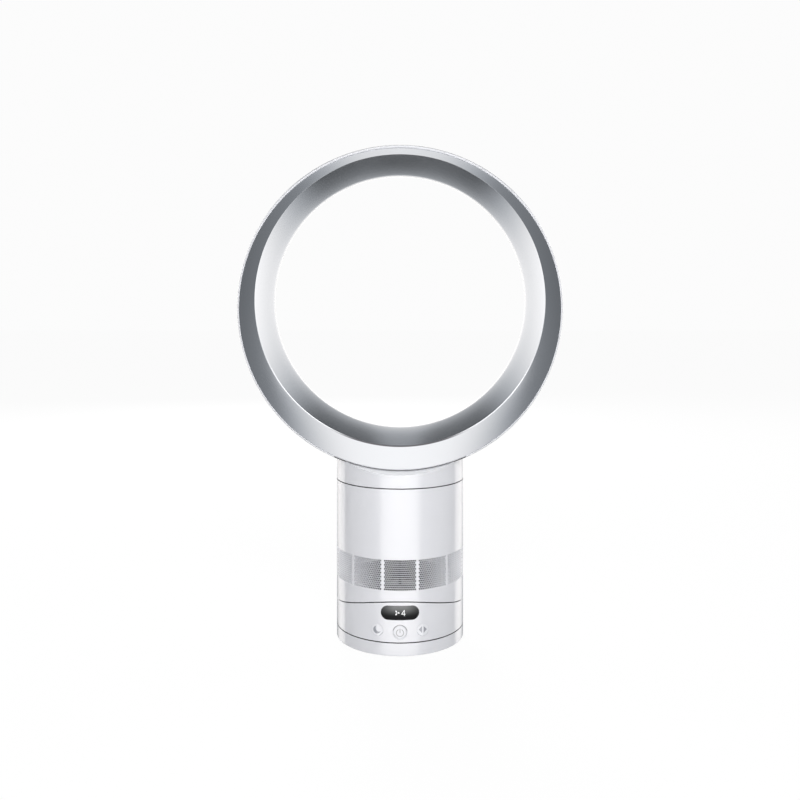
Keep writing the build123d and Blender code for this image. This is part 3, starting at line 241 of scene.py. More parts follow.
# %% A wrapped socket
class Wire:
    """An output socket that can be used in Python expressions."""

    def __init__(self, desk, socket):
        self.desk, self.socket = desk, socket

    def maths(self, operation, *values):
        """Add a Math node that works on these values."""
        return self.desk.node("ShaderNodeMath", {"operation": operation}, dict(enumerate(values)))

    def __add__(self, other): return self.maths("ADD", self, other)
    def __radd__(self, other): return self.maths("ADD", other, self)
    def __sub__(self, other): return self.maths("SUBTRACT", self, other)
    def __rsub__(self, other): return self.maths("SUBTRACT", other, self)
    def __mul__(self, other): return self.maths("MULTIPLY", self, other)
    def __rmul__(self, other): return self.maths("MULTIPLY", other, self)
    def __truediv__(self, other): return self.maths("DIVIDE", self, other)
    def __pow__(self, other): return self.maths("POWER", self, other)
    def __neg__(self): return self.maths("MULTIPLY", self, -1.0)
    def __abs__(self): return self.maths("ABSOLUTE", self)
    def least(self, other): return self.maths("MINIMUM", self, other)
    def most(self, other): return self.maths("MAXIMUM", self, other)


print("wires ready")

# %% [markdown]
# A desk is where one node tree is put together. Its first method adds any node, with its settings
# first and its sockets after. The others add the few groups that come back all the time: a smooth
# step, a mix of two colours, the place of a point, and noise.

# %% A desk for one node tree
class Desk:
    """A node tree, and methods that add nodes to it."""

    def __init__(self, tree):
        self.tree = tree

    def node(self, kind, settings=None, sockets=None, out=0):
        """Add a node, set it, fill or link its sockets, and give one of its outputs."""
        new = self.tree.nodes.new(kind)
        for key, value in (settings or {}).items():
            setattr(new, key, value)
        for key, value in (sockets or {}).items():
            if isinstance(value, Wire):
                self.tree.links.new(value.socket, new.inputs[key])
            else:
                new.inputs[key].default_value = value
        return Wire(self, new.outputs[out])

    def ramp(self, value, start, end):
        """A smooth step: 0 before start and 1 after end, where start may be the larger one."""
        return self.node("ShaderNodeMapRange", {"interpolation_type": "SMOOTHSTEP"},
                         {"Value": value, "From Min": start, "From Max": end})

    def blend(self, share, first, second):
        """Mix two colours, each of them three numbers or a wire, by a share."""
        first, second = [(*value, 1) if isinstance(value, tuple) else value for value in (first, second)]
        return self.node("ShaderNodeMix", {"data_type": "RGBA"},
                         {"Factor": share, 6: first, 7: second}, out=2)

    def parts(self, vector):
        """The x, y and z of a vector."""
        split = self.node("ShaderNodeSeparateXYZ", None, {0: vector})
        return [Wire(self, output) for output in split.socket.node.outputs]

    def place(self):
        """Where a shaded point lies on the object, in metres."""
        return self.node("ShaderNodeTexCoord", out="Object")

    def noise(self, size, detail=2.0, stretch=(1, 1, 1)):
        """Noise whose features are about one size across."""
        where = self.node("ShaderNodeMapping", None, {"Vector": self.place(), "Scale": stretch})
        return self.node("ShaderNodeTexNoise", None, {"Vector": where, "Scale": 1 / size, "Detail": detail})


print("desk ready")

# %% [markdown]
# A finish is the desk of a material. It fills or links the sockets of the Principled shader by their
# names, and it turns a height into relief. What is the same all over a piece is set as a plain value.

# %% A desk for a material
class Finish(Desk):
    """A material with one Principled shader."""

    def __init__(self, name, **constants):
        self.material = bpy.data.materials.new(name)
        self.material.use_nodes = True
        super().__init__(self.material.node_tree)
        self.shader = self.tree.nodes["Principled BSDF"]
        self.set(**constants)

    def set(self, **sockets):
        """Fill or link the shader's sockets, named with underscores for spaces."""
        for key, value in sockets.items():
            key = key.replace("_", " ")
            if isinstance(value, Wire):
                self.tree.links.new(value.socket, self.shader.inputs[key])
            else:
                self.shader.inputs[key].default_value = (*value, 1) if isinstance(value, tuple) else value

    def bump(self, height, depth):
        """Feed a height, from 0 to 1, to the normal as relief of a depth in metres."""
        self.set(Normal=self.node("ShaderNodeBump", None, {"Height": height, "Distance": depth}))


print("finishes can be mixed")

# %% [markdown]
# ## Finishes
#
# The casings are glossy white plastic. Up close such a moulding isn't perfectly flat: it has a very
# faint orange peel, which breaks up reflections. A clear coat over a slightly rough base gives the
# sharp reflection over soft light that the real plastic shows.

# %% Gloss white and satin white plastic
WHITE = (0.83, 0.835, 0.87)


def white_plastic(name, rough=0.22, coat=1.0):
    """White moulded plastic with a faint orange peel and slightly uneven gloss."""
    finish = Finish(name, Base_Color=WHITE, Coat_Weight=coat, Coat_Roughness=0.05, Coat_IOR=1.5)
    finish.set(Roughness=rough + 0.06 * finish.noise(9 * MM))
    finish.bump(finish.noise(1.6 * MM, 3.0), 0.004 * MM)
    return finish


gloss_white = white_plastic("gloss_white")
print("white plastic:", gloss_white.material.name)

# %% [markdown]
# Where two casings meet there is a narrow gap, which reads as a thin dark line. The gap is modelled
# too, but the rounded edges beside it catch the light and would turn the line pale. So shade is
# painted over the last part of a millimetre before the gap: the finish goes dark and dull there by a
# ramp on the height, with no extra geometry.

# %% Casing finish with painted shade beside the part line
# Width and colour of the painted shade beside each seam
SEAM_SHADE_WIDTH = 0.25 * MM
SEAM_SHADE_GREY = (0.06, 0.06, 0.065)


def casing_finish_with_seam_shade(name, edge, inward):
    """Gloss white with painted shade at one edge's height. The wall lies above it (1) or below it (-1)."""
    finish = white_plastic(name)
    _, _, z = finish.parts(finish.place())
    # painted shade: the white goes dark and dull just beside the gap
    line = finish.ramp(z, edge + inward * SEAM_SHADE_WIDTH, edge + inward * 0.6 * SEAM_SHADE_WIDTH)
    finish.set(Base_Color=finish.blend(line, WHITE, SEAM_SHADE_GREY),
               Roughness=0.25 + 0.6 * line, Coat_Weight=1.0 - line)
    return finish


# the width of the painted shade beside each part line
print("part lines", SEAM_SHADE_WIDTH / MM, "mm wide on each side")

# %% [markdown]
# The inside of the loop is plastic with a silver paint. Metal flakes in the paint make it a blurred
# mirror: it takes the light and dark of the room, not a colour of its own. The flakes vary in tone
# and tilt from one to the next. At the loop's top and bottom, a dark reflection is painted along
# the crease at the very front.

# %% Silver paint
CREASE_Y = -51.0 * MM
silver_paint = Finish("silver_paint", Metallic=1.0, Coat_Weight=0.25, Coat_Roughness=0.12)
flakes = silver_paint.noise(0.3 * MM, 4.0)
x, y, _ = silver_paint.parts(silver_paint.place())
# painted reflection: a dark line along the crease, at the loop's top and bottom only
crease_reflection = silver_paint.ramp(y, CREASE_Y + 0.5 * MM, CREASE_Y + 0.3 * MM)
crease_reflection = crease_reflection * silver_paint.ramp(abs(x), 85 * MM, 45 * MM)
paint = silver_paint.blend(flakes, (0.58, 0.60, 0.63), (0.70, 0.72, 0.75))
silver_paint.set(
    Base_Color=silver_paint.blend(crease_reflection, paint, (0.09, 0.09, 0.1)),
    Roughness=0.15 + 0.05 * flakes + 0.03 * silver_paint.noise(14 * MM))
silver_paint.bump(flakes, 0.003 * MM)
print("silver paint:", silver_paint.material.name)

# %% [markdown]
# Signs on the window and on the buttons are printed, so they are masks and not shapes. A mask is
# worked out from the place of a point on the front, in x and z: distances to a circle, to a line
# and to the edge of a triangle are enough for all of them.

# %% Helpers for printed signs
SOFT_EDGE = 0.06 * MM


def disc_mask(desk, x, z, radius):
    """1 inside a circle about the origin of x and z."""
    return desk.ramp((x * x + z * z) ** 0.5, radius + SOFT_EDGE, radius - SOFT_EDGE)


def ring_mask(desk, x, z, outer, inner):
    """1 between two circles about the origin of x and z."""
    return disc_mask(desk, x, z, outer) - disc_mask(desk, x, z, inner)


def stroke_mask(desk, x, z, start, end, width):
    """1 on a straight stroke with round ends."""
    long = hypot(end[0] - start[0], end[1] - start[1])
    ux, uz = (end[0] - start[0]) / long, (end[1] - start[1]) / long
    dx, dz = x - start[0], z - start[1]
    along = (dx * ux + dz * uz).most(0.0).least(long)
    away = ((dx - along * ux) ** 2.0 + (dz - along * uz) ** 2.0) ** 0.5
    return desk.ramp(away, width / 2 + SOFT_EDGE, width / 2 - SOFT_EDGE)


print("sign masks ready")

# %% [markdown]
# The display is a black window with lit signs behind it: a small fan and the number of the chosen
# speed. The window is smoked, so it is nearly black, and a grey sheen is painted towards its top.
# The signs feed both the colour and the light that it gives off.

# %% Black window with lit signs
def mm_rows(rows):
    """Rows of numbers in millimetres, as metres."""
    return [tuple(v * MM for v in row) for row in rows]


WINDOW_Z = 47.4 * MM
FAN_AT, BLADE_AT = mm_rows([(-3.2, 0.1), (1.65, 0.30)])
HUB_R, BLADE_R, BLADE_SQUEEZE = 0.32 * MM, 0.72 * MM, 0.60
FOUR_TOP, FOUR_LEFT, FOUR_RIGHT, FOUR_END = mm_rows([(4.6, 2.9), (1.75, -1.25), (5.65, -1.25), (4.6, -2.9)])
FOUR_STROKE = 0.75 * MM
window_black = Finish("window_black", Roughness=0.12, Specular_IOR_Level=0.03, Coat_Weight=0.05,
                      Coat_Roughness=0.02, Emission_Strength=0.5)
x, _, z = window_black.parts(window_black.place())
z = z - WINDOW_Z


def fan_blade(desk, x, z, turn):
    """One blade of the fan sign: an ellipse beside its hub."""
    across = x * cos(turn) + z * sin(turn) - BLADE_AT[0]
    up = z * cos(turn) - x * sin(turn) - BLADE_AT[1]
    return disc_mask(desk, across * BLADE_SQUEEZE, up, BLADE_R)


fan_x, fan_z = x - FAN_AT[0], z - FAN_AT[1]
sign = disc_mask(window_black, fan_x, fan_z, HUB_R)
for blade in range(3):
    sign = sign.most(fan_blade(window_black, fan_x, fan_z, radians(120 * blade - 10)))
for start, end in ((FOUR_TOP, FOUR_LEFT), (FOUR_LEFT, FOUR_RIGHT), (FOUR_TOP, FOUR_END)):
    sign = sign.most(stroke_mask(window_black, x, z, start, end, FOUR_STROKE))
# painted sheen: grey towards the top of the window, fading towards its ends
sheen = window_black.ramp(z, -4.5 * MM, 7.0 * MM)
sheen = sheen * (1.0 - 0.7 * window_black.ramp(abs(x), 5.0 * MM, 20.0 * MM))
smoked_with_painted_sheen = window_black.blend(sheen, (0.006, 0.006, 0.007), (0.25, 0.255, 0.255))
window_black.set(Base_Color=window_black.blend(sign, smoked_with_painted_sheen, (0.6, 0.6, 0.6)),
                 Emission_Color=window_black.blend(sign, (0, 0, 0), (1, 1, 1)))
print("window:", window_black.material.name)

# %% [markdown]
# The three caps are the casing's plastic with a finer, more satin face and pale grey signs: a power
# sign, a crescent moon for the sleep timer, and two arrowheads for turning from side to side. Above
# the power button's sloping wall, a painted shade arc is drawn with its sign. The other two have a
# faint painted shade ring along the rim, where the gap round the cap lies.

# %% Button finishes
POWER_AT, SLEEP_AT, TURN_AT = mm_rows([(0, 26.65), (-24.4, 28.05), (24.4, 28.05)])
POWER_SIGN_AT = (0, 25.4 * MM)
# The inks also colour the painted shade arc and rings at the caps' rims.
POWER_INK_AND_SHADE, SIDE_INK_AND_RIM_SHADE = (0.36, 0.36, 0.36), (0.37, 0.38, 0.42)


def button_finish(name, centre, sign_and_shade_of, ink_and_shade):
    """Satin white with one printed sign, and the painted shade that its sign function draws at the rim."""
    finish = white_plastic(name, 0.30, 0.6)
    x, _, z = finish.parts(finish.place())
    mask = sign_and_shade_of(finish, x - centre[0], z - centre[1])
    finish.set(Base_Color=finish.blend(mask, WHITE, ink_and_shade))
    return finish


def power_sign_and_shade_arc(desk, x, z):
    """A ring with a bar in its gap, and a painted shade arc along the upper rim of the cap."""
    ring = ring_mask(desk, x, z, 4.3 * MM, 3.4 * MM)
    gap = desk.ramp(abs(x), 1.7 * MM, 1.5 * MM) * desk.ramp(z, 0.0, 0.5 * MM)
    bar = stroke_mask(desk, x, z, (0, 0.4 * MM), (0, 4.2 * MM), 0.9 * MM)
    # painted shade: a dark arc along the cap's upper rim, strongest at its sides
    rise = z - (POWER_AT[1] - POWER_SIGN_AT[1])
    shade = disc_mask(desk, x, rise, 7.9 * MM) - disc_mask(desk, x, rise + 0.5 * MM, 7.4 * MM)
    shade = shade * desk.ramp(rise, 1.0 * MM, 3.0 * MM) * (0.5 + 1.5 * desk.ramp(abs(x), 1.0 * MM, 5.5 * MM))
    return (0.8 * ring * (1 - gap)).most(0.8 * bar).most(shade.least(1.0))


def cap_rim_shade(desk, x, z):
    """A faint painted shade ring along the rim of a side button, where the gap round it lies."""
    # painted shade: a faint dark ring where the gap round the cap lies
    return 0.14 * ring_mask(desk, x, z, 6.6 * MM, 6.0 * MM)


def moon_sign_and_rim_shade(desk, x, z):
    """A disc with another disc taken out of it, and the painted shade ring at the rim."""
    moon = disc_mask(desk, x, z, 4.2 * MM) * (1 - disc_mask(desk, x - 2.2 * MM, z - 1.7 * MM, 3.9 * MM))
    return moon.most(cap_rim_shade(desk, x, z))


def arrows_sign_and_rim_shade(desk, x, z):
    """Two triangles, back to back, and the painted shade ring at the rim."""
    reach = 4.4 * MM - abs(x)
    inside = desk.ramp(abs(z) * 0.95 - reach, SOFT_EDGE, -SOFT_EDGE)
    return (inside * desk.ramp(abs(x), 0.75 * MM, 0.85 * MM)).most(cap_rim_shade(desk, x, z))


BUTTON_FINISHES = {
    "power_button": button_finish("satin_white_power", POWER_SIGN_AT, power_sign_and_shade_arc, POWER_INK_AND_SHADE),
    "sleep_timer_button": button_finish("satin_white_sleep", SLEEP_AT, moon_sign_and_rim_shade, SIDE_INK_AND_RIM_SHADE),
    "oscillation_button": button_finish("satin_white_turn", TURN_AT, arrows_sign_and_rim_shade, SIDE_INK_AND_RIM_SHADE),
}
print("button finishes:", len(BUTTON_FINISHES))

# %% [markdown]
# Pieces inside the fan are hidden, but they show when it is taken apart, so each gets the finish of
# its own stuff: spark-eroded grain on the moulded plastics, fine turning marks on steel, wire
# strands on the coils, tracks on the boards and open cells in the foam.

# %% Finishes inside the fan
def moulded(name, colour, rough, grain=0.35 * MM):
    """Matt moulded plastic with a fine eroded grain."""
    finish = Finish(name, Roughness=rough)
    fleck = finish.noise(grain, 4.0)
    darker = tuple(0.82 * v for v in colour)
    finish.set(Base_Color=finish.blend(fleck, darker, colour), Roughness=rough + 0.12 * fleck)
    finish.bump(fleck, 0.02 * MM)
    return finish


def steel_finish():
    """Turned steel with fine marks round it."""
    finish = Finish("steel", Metallic=1.0)
    marks = finish.noise(0.5 * MM, 3.0, stretch=(1, 1, 12))
    finish.set(Base_Color=finish.blend(marks, (0.50, 0.50, 0.51), (0.66, 0.66, 0.67)),
               Roughness=0.22 + 0.2 * marks)
    finish.bump(marks, 0.003 * MM)
    return finish


def copper_finish():
    """Enamelled wire, one strand above the other."""
    finish = Finish("copper", Metallic=1.0, Coat_Weight=0.5)
    _, _, z = finish.parts(finish.place())
    phase = z * (2 * pi / (0.6 * MM))
    strand = phase.maths("SINE", phase) * 0.5 + 0.5
    finish.set(Base_Color=finish.blend(strand, (0.36, 0.15, 0.07), (0.80, 0.42, 0.22)), Roughness=0.3)
    finish.bump(strand, 0.15 * MM)
    return finish


def board_finish():
    """Green lacquer over raised tracks."""
    finish = Finish("circuit_board", Roughness=0.35, Coat_Weight=0.4)
    cells = finish.node("ShaderNodeTexVoronoi", {"feature": "DISTANCE_TO_EDGE"},
                        {"Vector": finish.place(), "Scale": 1 / (4 * MM)})
    track = finish.ramp(cells, 0.10, 0.06)
    finish.set(Base_Color=finish.blend(track, (0.015, 0.10, 0.045), (0.05, 0.24, 0.10)))
    finish.bump(track, 0.04 * MM)
    return finish


def foam_finish():
    """Dark open-celled foam."""
    finish = Finish("foam", Roughness=0.95)
    cells = finish.node("ShaderNodeTexVoronoi", None, {"Vector": finish.place(), "Scale": 1 / (1.4 * MM)})
    finish.set(Base_Color=finish.blend(cells, (0.04, 0.04, 0.045), (0.16, 0.16, 0.17)))
    finish.bump(cells, 0.4 * MM)
    return finish


print("finishes for steel, wire, boards and foam ready")

# %% [markdown]
# The frame's record says what each piece is made of. One table turns those words into finishes, and
# every piece of the engineering model gets its own. The casings that are modelled again further on
# take the place of theirs.

# %% A finish for every piece
SLOT_FINISHES = {
    "white_plastic": gloss_white,
    "silver_paint": silver_paint,
    "window_black": window_black,
    "button_white": BUTTON_FINISHES["power_button"],
    "dark_rubber": moulded("dark_rubber", (0.05, 0.05, 0.055), 0.70, 0.8 * MM),
    "black_plastic": moulded("black_plastic", (0.03, 0.03, 0.032), 0.45),
    "grey_plastic": moulded("grey_plastic", (0.30, 0.31, 0.33), 0.45),
    "slide_plastic": moulded("slide_plastic", (0.72, 0.72, 0.68), 0.30),
    "steel": steel_finish(),
    "copper": copper_finish(),
    "circuit_board": board_finish(),
    "foam": foam_finish(),
}


def wear(obj, finish):
    """Give an object one finish all over."""
    obj.data.materials.clear()
    obj.data.materials.append(finish.material)


SLOT_OF = {part["node"]: part["material_slot"] for part in frame["record"]["subparts"]}
for node, slot in SLOT_OF.items():
    wear(NODES[node], SLOT_FINISHES[slot])
print("finished", len(SLOT_OF), "pieces in", len(SLOT_FINISHES), "finishes")

# %% [markdown]
# ## The main casing and its intake holes
#
# Air enters through twelve panels of small holes all round the casing. Cutting thousands of holes
# into a curved wall is slow and leaves ragged faces. Instead one hole is drawn in its own small
# cell, the cell is repeated into a flat sheet, and the sheet is bent into the tube, as sheet metal
# would be. Rows are staggered: long rows of sixteen holes alternate with short rows of fifteen.

# %% Sizes of the body
BODY_R, WALL = 72.0 * MM, 2.2 * MM
PANELS, COLUMNS, ROWS = 12, 16, 15
GRILLE_LOW, GRILLE_TOP = 71.0 * MM, 103.8 * MM
PITCH, ROW_STEP = 2.2 * MM, (GRILLE_TOP - GRILLE_LOW) / ROWS
HOLE_R = 0.98 * MM
PANEL_W = 2 * pi * BODY_R / PANELS
MAIN_TOP = 179.3 * MM
TILT_Z, UPPER_R, CRADLE_R = 221.05 * MM, 176.6 * MM, 177.6 * MM
NEAR, EDGE_ROUND = 0.02 * MM, 0.2 * MM


def saddle(radius, y):
    """Height of the tilt seam at a place along Y."""
    return TILT_Z - sqrt(radius ** 2 - y ** 2)


print("panel", round(PANEL_W / MM, 2), "mm wide, row step", round(ROW_STEP / MM, 3), "mm")

# %% [markdown]
# The sheet is put together from copies, and every copy has its own mesh, so that one can be changed
# without the other. Where copies meet, the Array modifier merges their points.

# %% Helpers for sheets
def copy(obj, name):
    """A copy of an object with its own mesh."""
    twin = obj.copy()
    twin.data = obj.data.copy()
    twin.name = name
    bpy.context.scene.collection.objects.link(twin)
    return twin


def join(obj, *others):
    """Make several objects one."""
    take(obj)
    for other in others:
        other.select_set(True)
    bpy.ops.object.join()


def shift(obj, step):
    """Move all of a mesh."""
    open_mesh(obj)
    bpy.ops.mesh.select_all(action="SELECT")
    bpy.ops.transform.translate(value=step)
    put_down()


def repeat(obj, count, step):
    """Repeat a mesh in a row and merge where copies meet."""
    modify(obj, "ARRAY", count=count, use_relative_offset=False, use_constant_offset=True,
           constant_offset_displace=step, use_merge_vertices=True, merge_threshold=NEAR)


print("sheet helpers ready")

# %% [markdown]
# A hole starts as a circle with eight points. Its edge is extruded on the spot and the new points are
# drawn out to the cell's sides, the slanting ones on to its corners, which leaves eight faces round
# the hole. An array with merged points makes a row of it. The short row's ends are drawn out to the
# long row's, and both on to the panel's edge, so that all rows meet point to point.

# %% One hole in its cell, and a long and a short row
casing = circle("main_casing_shell", HOLE_R, (0, 0, 0), 8, "Y")
open_mesh(casing)
bpy.ops.mesh.select_all(action="SELECT")
bpy.ops.mesh.extrude_region_move(TRANSFORM_OT_translate={"value": (0, 0, 0)})
bpy.ops.transform.resize(
    value=(PITCH / 2 / HOLE_R, 1, ROW_STEP / 2 / HOLE_R), center_override=(0, 0, 0))
pick(casing, lambda p: 0.6 < abs(p.x) / (PITCH / 2) < 0.8 and 0.6 < abs(p.z) / (ROW_STEP / 2) < 0.8)
bpy.ops.transform.resize(value=(sqrt(2), 1, sqrt(2)), center_override=(0, 0, 0))
put_down()


def row(name, count):
    """A row of cells whose ends are drawn out to the panel's edges."""
    cells = copy(casing, name)
    repeat(cells, count, (PITCH, 0, 0))
    shift(cells, (-(count - 1) / 2 * PITCH, 0, 0))
    end = count * PITCH / 2
    for reach in [COLUMNS * PITCH / 2, PANEL_W / 2]:
        if reach - end > NEAR:
            for side in (-1, 1):
                open_mesh(cells)
                pick(cells, lambda p: abs(p.x - side * end) < NEAR)
                bpy.ops.mesh.extrude_region_move(
                    TRANSFORM_OT_translate={"value": (side * (reach - end), 0, 0)})
            end = reach
    put_down()
    return cells


long_row, short_row = row("long_row", COLUMNS), row("short_row", COLUMNS - 1)
bpy.data.objects.remove(casing)
print("long row", len(long_row.data.polygons), "faces, short row", len(short_row.data.polygons))

# %% [markdown]
# Arrays turn the rows into a panel and the panel into a flat band of twelve. The Simple Deform
# modifier bends the band once round, and merging doubled points closes it. The modifier bends about
# a line beside the band, so the tube is then moved on to the fan's axis.

# %% Rows to a panel, panels to a band, and the band bent into a tube
casing = copy(long_row, "main_casing_shell")
shift(short_row, (0, 0, ROW_STEP))
join(casing, short_row)
repeat(casing, ROWS // 2, (0, 0, 2 * ROW_STEP))
shift(long_row, (0, 0, (ROWS - 1) * ROW_STEP))
join(casing, long_row)
shift(casing, (-(PANELS // 2 - 0.5) * PANEL_W + PANEL_W / 2, 0, GRILLE_LOW + ROW_STEP / 2))
repeat(casing, PANELS, (PANEL_W, 0, 0))
tidy_mesh(casing)
modify(casing, "SIMPLE_DEFORM", deform_method="BEND", deform_axis="Z", angle=2 * pi)
tidy_mesh(casing)
ys = [vert.co.y for vert in casing.data.vertices]
shift(casing, (0, -(max(ys) + min(ys)) / 2, 0))
radii = [hypot(vert.co.x, vert.co.y) for vert in casing.data.vertices]
print("band of", len(casing.data.polygons), "faces,",
      "radius", round(min(radii) / MM, 3), "to", round(max(radii) / MM, 3))

# %% [markdown]
# The plain wall above and below is drawn out from the edges of the band. Its lower edge follows the
# curved seam over which the body tilts, so the height of each point there is set from the curve.
# Then the sheet gets its thickness, and only its two long edges are rounded.

# %% Walls, thickness and rounded edges
open_mesh(casing)
pick(casing, lambda p: p.z > GRILLE_TOP - NEAR)
reached = GRILLE_TOP
for height in (112 * MM, 150 * MM, MAIN_TOP):
    bpy.ops.mesh.extrude_region_move(TRANSFORM_OT_translate={"value": (0, 0, height - reached)})
    reached = height
pick(casing, lambda p: p.z < GRILLE_LOW + NEAR)
for drop in (5 * MM, 20 * MM):
    bpy.ops.mesh.extrude_region_move(TRANSFORM_OT_translate={"value": (0, 0, -drop)})
put_down()
for vert in casing.data.vertices:
    if vert.co.z < GRILLE_LOW - 6 * MM:
        vert.co.z = saddle(UPPER_R, vert.co.y)
tidy_mesh(casing)
outward = sum(face.normal.dot(Vector((face.center.x, face.center.y, 0))) for face in casing.data.polygons)
if outward < 0:
    take(casing)
    casing.data.flip_normals()
modify(casing, "SOLIDIFY", thickness=WALL, offset=-1, use_even_offset=True)


def on_rim(p):
    """Whether an edge's middle lies on the top rim, or on the tilt seam outside or inside the wall."""
    inside = hypot(p.x, p.y) < BODY_R - WALL + 0.1 * MM
    y = p.y * BODY_R / (BODY_R - WALL) if inside else p.y
    return p.z > MAIN_TOP - NEAR or p.z < saddle(UPPER_R, y) + NEAR


open_mesh(casing)
pick(casing, on_rim, "EDGE")
bpy.ops.mesh.bevel(offset=EDGE_ROUND, segments=2, affect="EDGES")
put_down()
print("casing", len(casing.data.polygons), "faces")

# %% [markdown]
# Inside, a round shelf carries the motor's rubber mounts. It belongs to the same moulding, so it is
# turned from its own profile and joined to the casing. The finished casing then replaces the plain
# one of the engineering model and rides on the same body. Weighted normals keep the long curved
# walls smooth up to their rounded edges, so that reflections run straight.

# %% The shelf, and the finished main casing
SHELF_LOW, SHELF_TOP, SHELF_R = 106.5 * MM, 109.0 * MM, 57.0 * MM
LEAD_HOLE_R, LEAD_Y = 3.1 * MM, 64.4 * MM


def dress(obj, body, node, finish, angle=30):
    """Finish a new piece: smooth it, and let it ride on a body in place of a node."""
    take(obj)
    bpy.ops.object.shade_smooth_by_angle(angle=radians(angle))
    modify(obj, "WEIGHTED_NORMAL", keep_sharp=True)
    put_down()
    obj.name = node + "_piece"
    wear(obj, finish)
    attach(obj, body)
    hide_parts(node)
    print(obj.name, len(obj.data.polygons), "faces")


shelf = lathe("shelf", [(SHELF_LOW, SHELF_R), (SHELF_LOW, BODY_R - WALL),
                        (SHELF_TOP, BODY_R - WALL), (SHELF_TOP, SHELF_R)], 180)
cut(shelf, drum("lead_hole", LEAD_HOLE_R, 100 * MM, 115 * MM, 32, at=(0, LEAD_Y)))
join(casing, shelf)
dress(casing, "main_body", "main_casing", casing_finish_with_seam_shade("main_white", MAIN_TOP, -1))

# %% [markdown]
# ## The loop's white outer casing
#
# The loop isn't one ring on one axis: the round opening lies higher than the casing around it, so
# the casing is thicker below, where the air comes in. It is built as a row of circles along Y, each
# with its own centre and radius. One circle is extruded, moved and resized from place to place,
# round the rear, in through the lip of the air slot and back along the inside.

# %% Smooth rows of circles
LOOP_SIDES = 360
INNER_Z = 379.4 * MM


def smooth_row(rows, steps=4):
    """A smooth curve through rows of numbers, with this many steps from each to the next."""
    lengths = [max(1e-9, sqrt(sum((b - a) ** 2 for a, b in zip(first, second))))
               for first, second in zip(rows, rows[1:])]

    def slope(i, k):
        """How fast number k changes at row i, from the rows on both sides of it."""
        if i == 0 or i == len(rows) - 1:
            j = min(i, len(rows) - 2)
            return (rows[j + 1][k] - rows[j][k]) / lengths[j]
        before = (rows[i][k] - rows[i - 1][k]) / lengths[i - 1]
        after = (rows[i + 1][k] - rows[i][k]) / lengths[i]
        return (before * lengths[i] + after * lengths[i - 1]) / (lengths[i] + lengths[i - 1])

    curve = []
    for i, length in enumerate(lengths):
        for step in range(steps):
            t = step / steps
            curve.append(tuple(
                (2 * t ** 3 - 3 * t ** 2 + 1) * rows[i][k] + (t ** 3 - 2 * t ** 2 + t) * length * slope(i, k)
                + (3 * t ** 2 - 2 * t ** 3) * rows[i + 1][k] + (t ** 3 - t ** 2) * length * slope(i + 1, k)
                for k in range(len(rows[i]))))
    return curve + [rows[-1]]


print("smooth rows ready")

# %% [markdown]
# Round the casing's rear the rows lie on an arc. Three points fix a circle: its centre is as far
# from the first as from the second and the third.

# %% Rows on an arc
def arc_rows(start, middle, end, steps=8):
    """Rows (y, opening's centre, radius) on the arc through three points (y, radius)."""
    (ax, ay), (bx, by), (cx, cy) = start, middle, end
    a, b, c = ax ** 2 + ay ** 2, bx ** 2 + by ** 2, cx ** 2 + cy ** 2
    d = 2 * (ax * (by - cy) + bx * (cy - ay) + cx * (ay - by))
    ux = (a * (by - cy) + b * (cy - ay) + c * (ay - by)) / d
    uy = (a * (cx - bx) + b * (ax - cx) + c * (bx - ax)) / d
    size = hypot(ax - ux, ay - uy)
    first, mid, last = [atan2(p[1] - uy, p[0] - ux) for p in (start, middle, end)]
    turn = (last - first) % (2 * pi)
    if (mid - first) % (2 * pi) > turn:
        turn -= 2 * pi
    return [(ux + size * cos(first + turn * i / steps), INNER_Z, uy + size * sin(first + turn * i / steps))
            for i in range(steps + 1)]


print("arcs ready")

# %% [markdown]
# The casing's section is one closed line: the outside from the front edge to the rear, a tight arc
# round the back, the lip of the air slot, a second arc, and the inside back to the seat of the silver
# casing. The long stretches are smooth curves through a few rows, so only those rows are written.

# %% The white casing's section, drawn round the loop
OUTSIDE = mm_rows([
    (-42.3, 370.2, 176.0), (-41.9, 370.35, 176.75), (-40.9, 370.5, 177.3), (-35, 371, 178.6), (-24, 371, 179),
    (0, 371.4, 177.9), (25, 373.2, 172.4), (37, 375.8, 166.0), (44.6, 379.4, 158.6)])
REAR_ARC = arc_rows(*mm_rows([(44.6, 158.6), (47.4, 152.8), (43.0, 147.5)]))
LIP = mm_rows([(36, 379.4, 147.1), (30.5, 379.4, 146.9), (30.05, 379.4, 147.05), (29.95, 379.4, 147.4),
               (30.05, 379.4, 147.75), (30.5, 379.4, 147.95), (36, 379.4, 148.4)])
BACK_ARC = arc_rows(*mm_rows([(41.8, 149.0), (45.2, 152.8), (44.6, 156.4)]), steps=5)
INSIDE = mm_rows([(44.6, 379.4, 156.4), (37, 375.8, 163.8), (25, 373.2, 170.2), (0, 371.4, 175.7),
                  (-24, 371, 176.8), (-35, 370.5, 176.0)])
SEAT = mm_rows([(-37, 370, 175.2), (-42.1, 370, 175.2), (-42.3, 370.05, 175.4)])


def ring_skin(name, rows):
    """A closed skin through a row of circles (y, centre z, radius)."""
    obj = circle(name, rows[0][2], (0, rows[0][0], rows[0][1]), LOOP_SIDES, "Y")
    grow_rings(obj, rows)
    close_rings(obj)
    return obj


outside_rows = smooth_row(OUTSIDE)
loop_rows = outside_rows + REAR_ARC[1:] + LIP + BACK_ARC + smooth_row(INSIDE, 3)[1:] + SEAT
outer_casing = ring_skin("outer_casing", loop_rows)
print("outer casing", len(loop_rows), "circles,", len(outer_casing.data.polygons), "faces")

# %% [markdown]
# Air comes up through a hole in the casing's bottom, which is cut with a box. The front edge of the
# casing shows as a thin light line round the silver, and over the neck as a thin dark one, so shade
# is painted there. Behind the front edge the white is painted a little lighter, as light only grazes
# it, and on the edge a little darker.

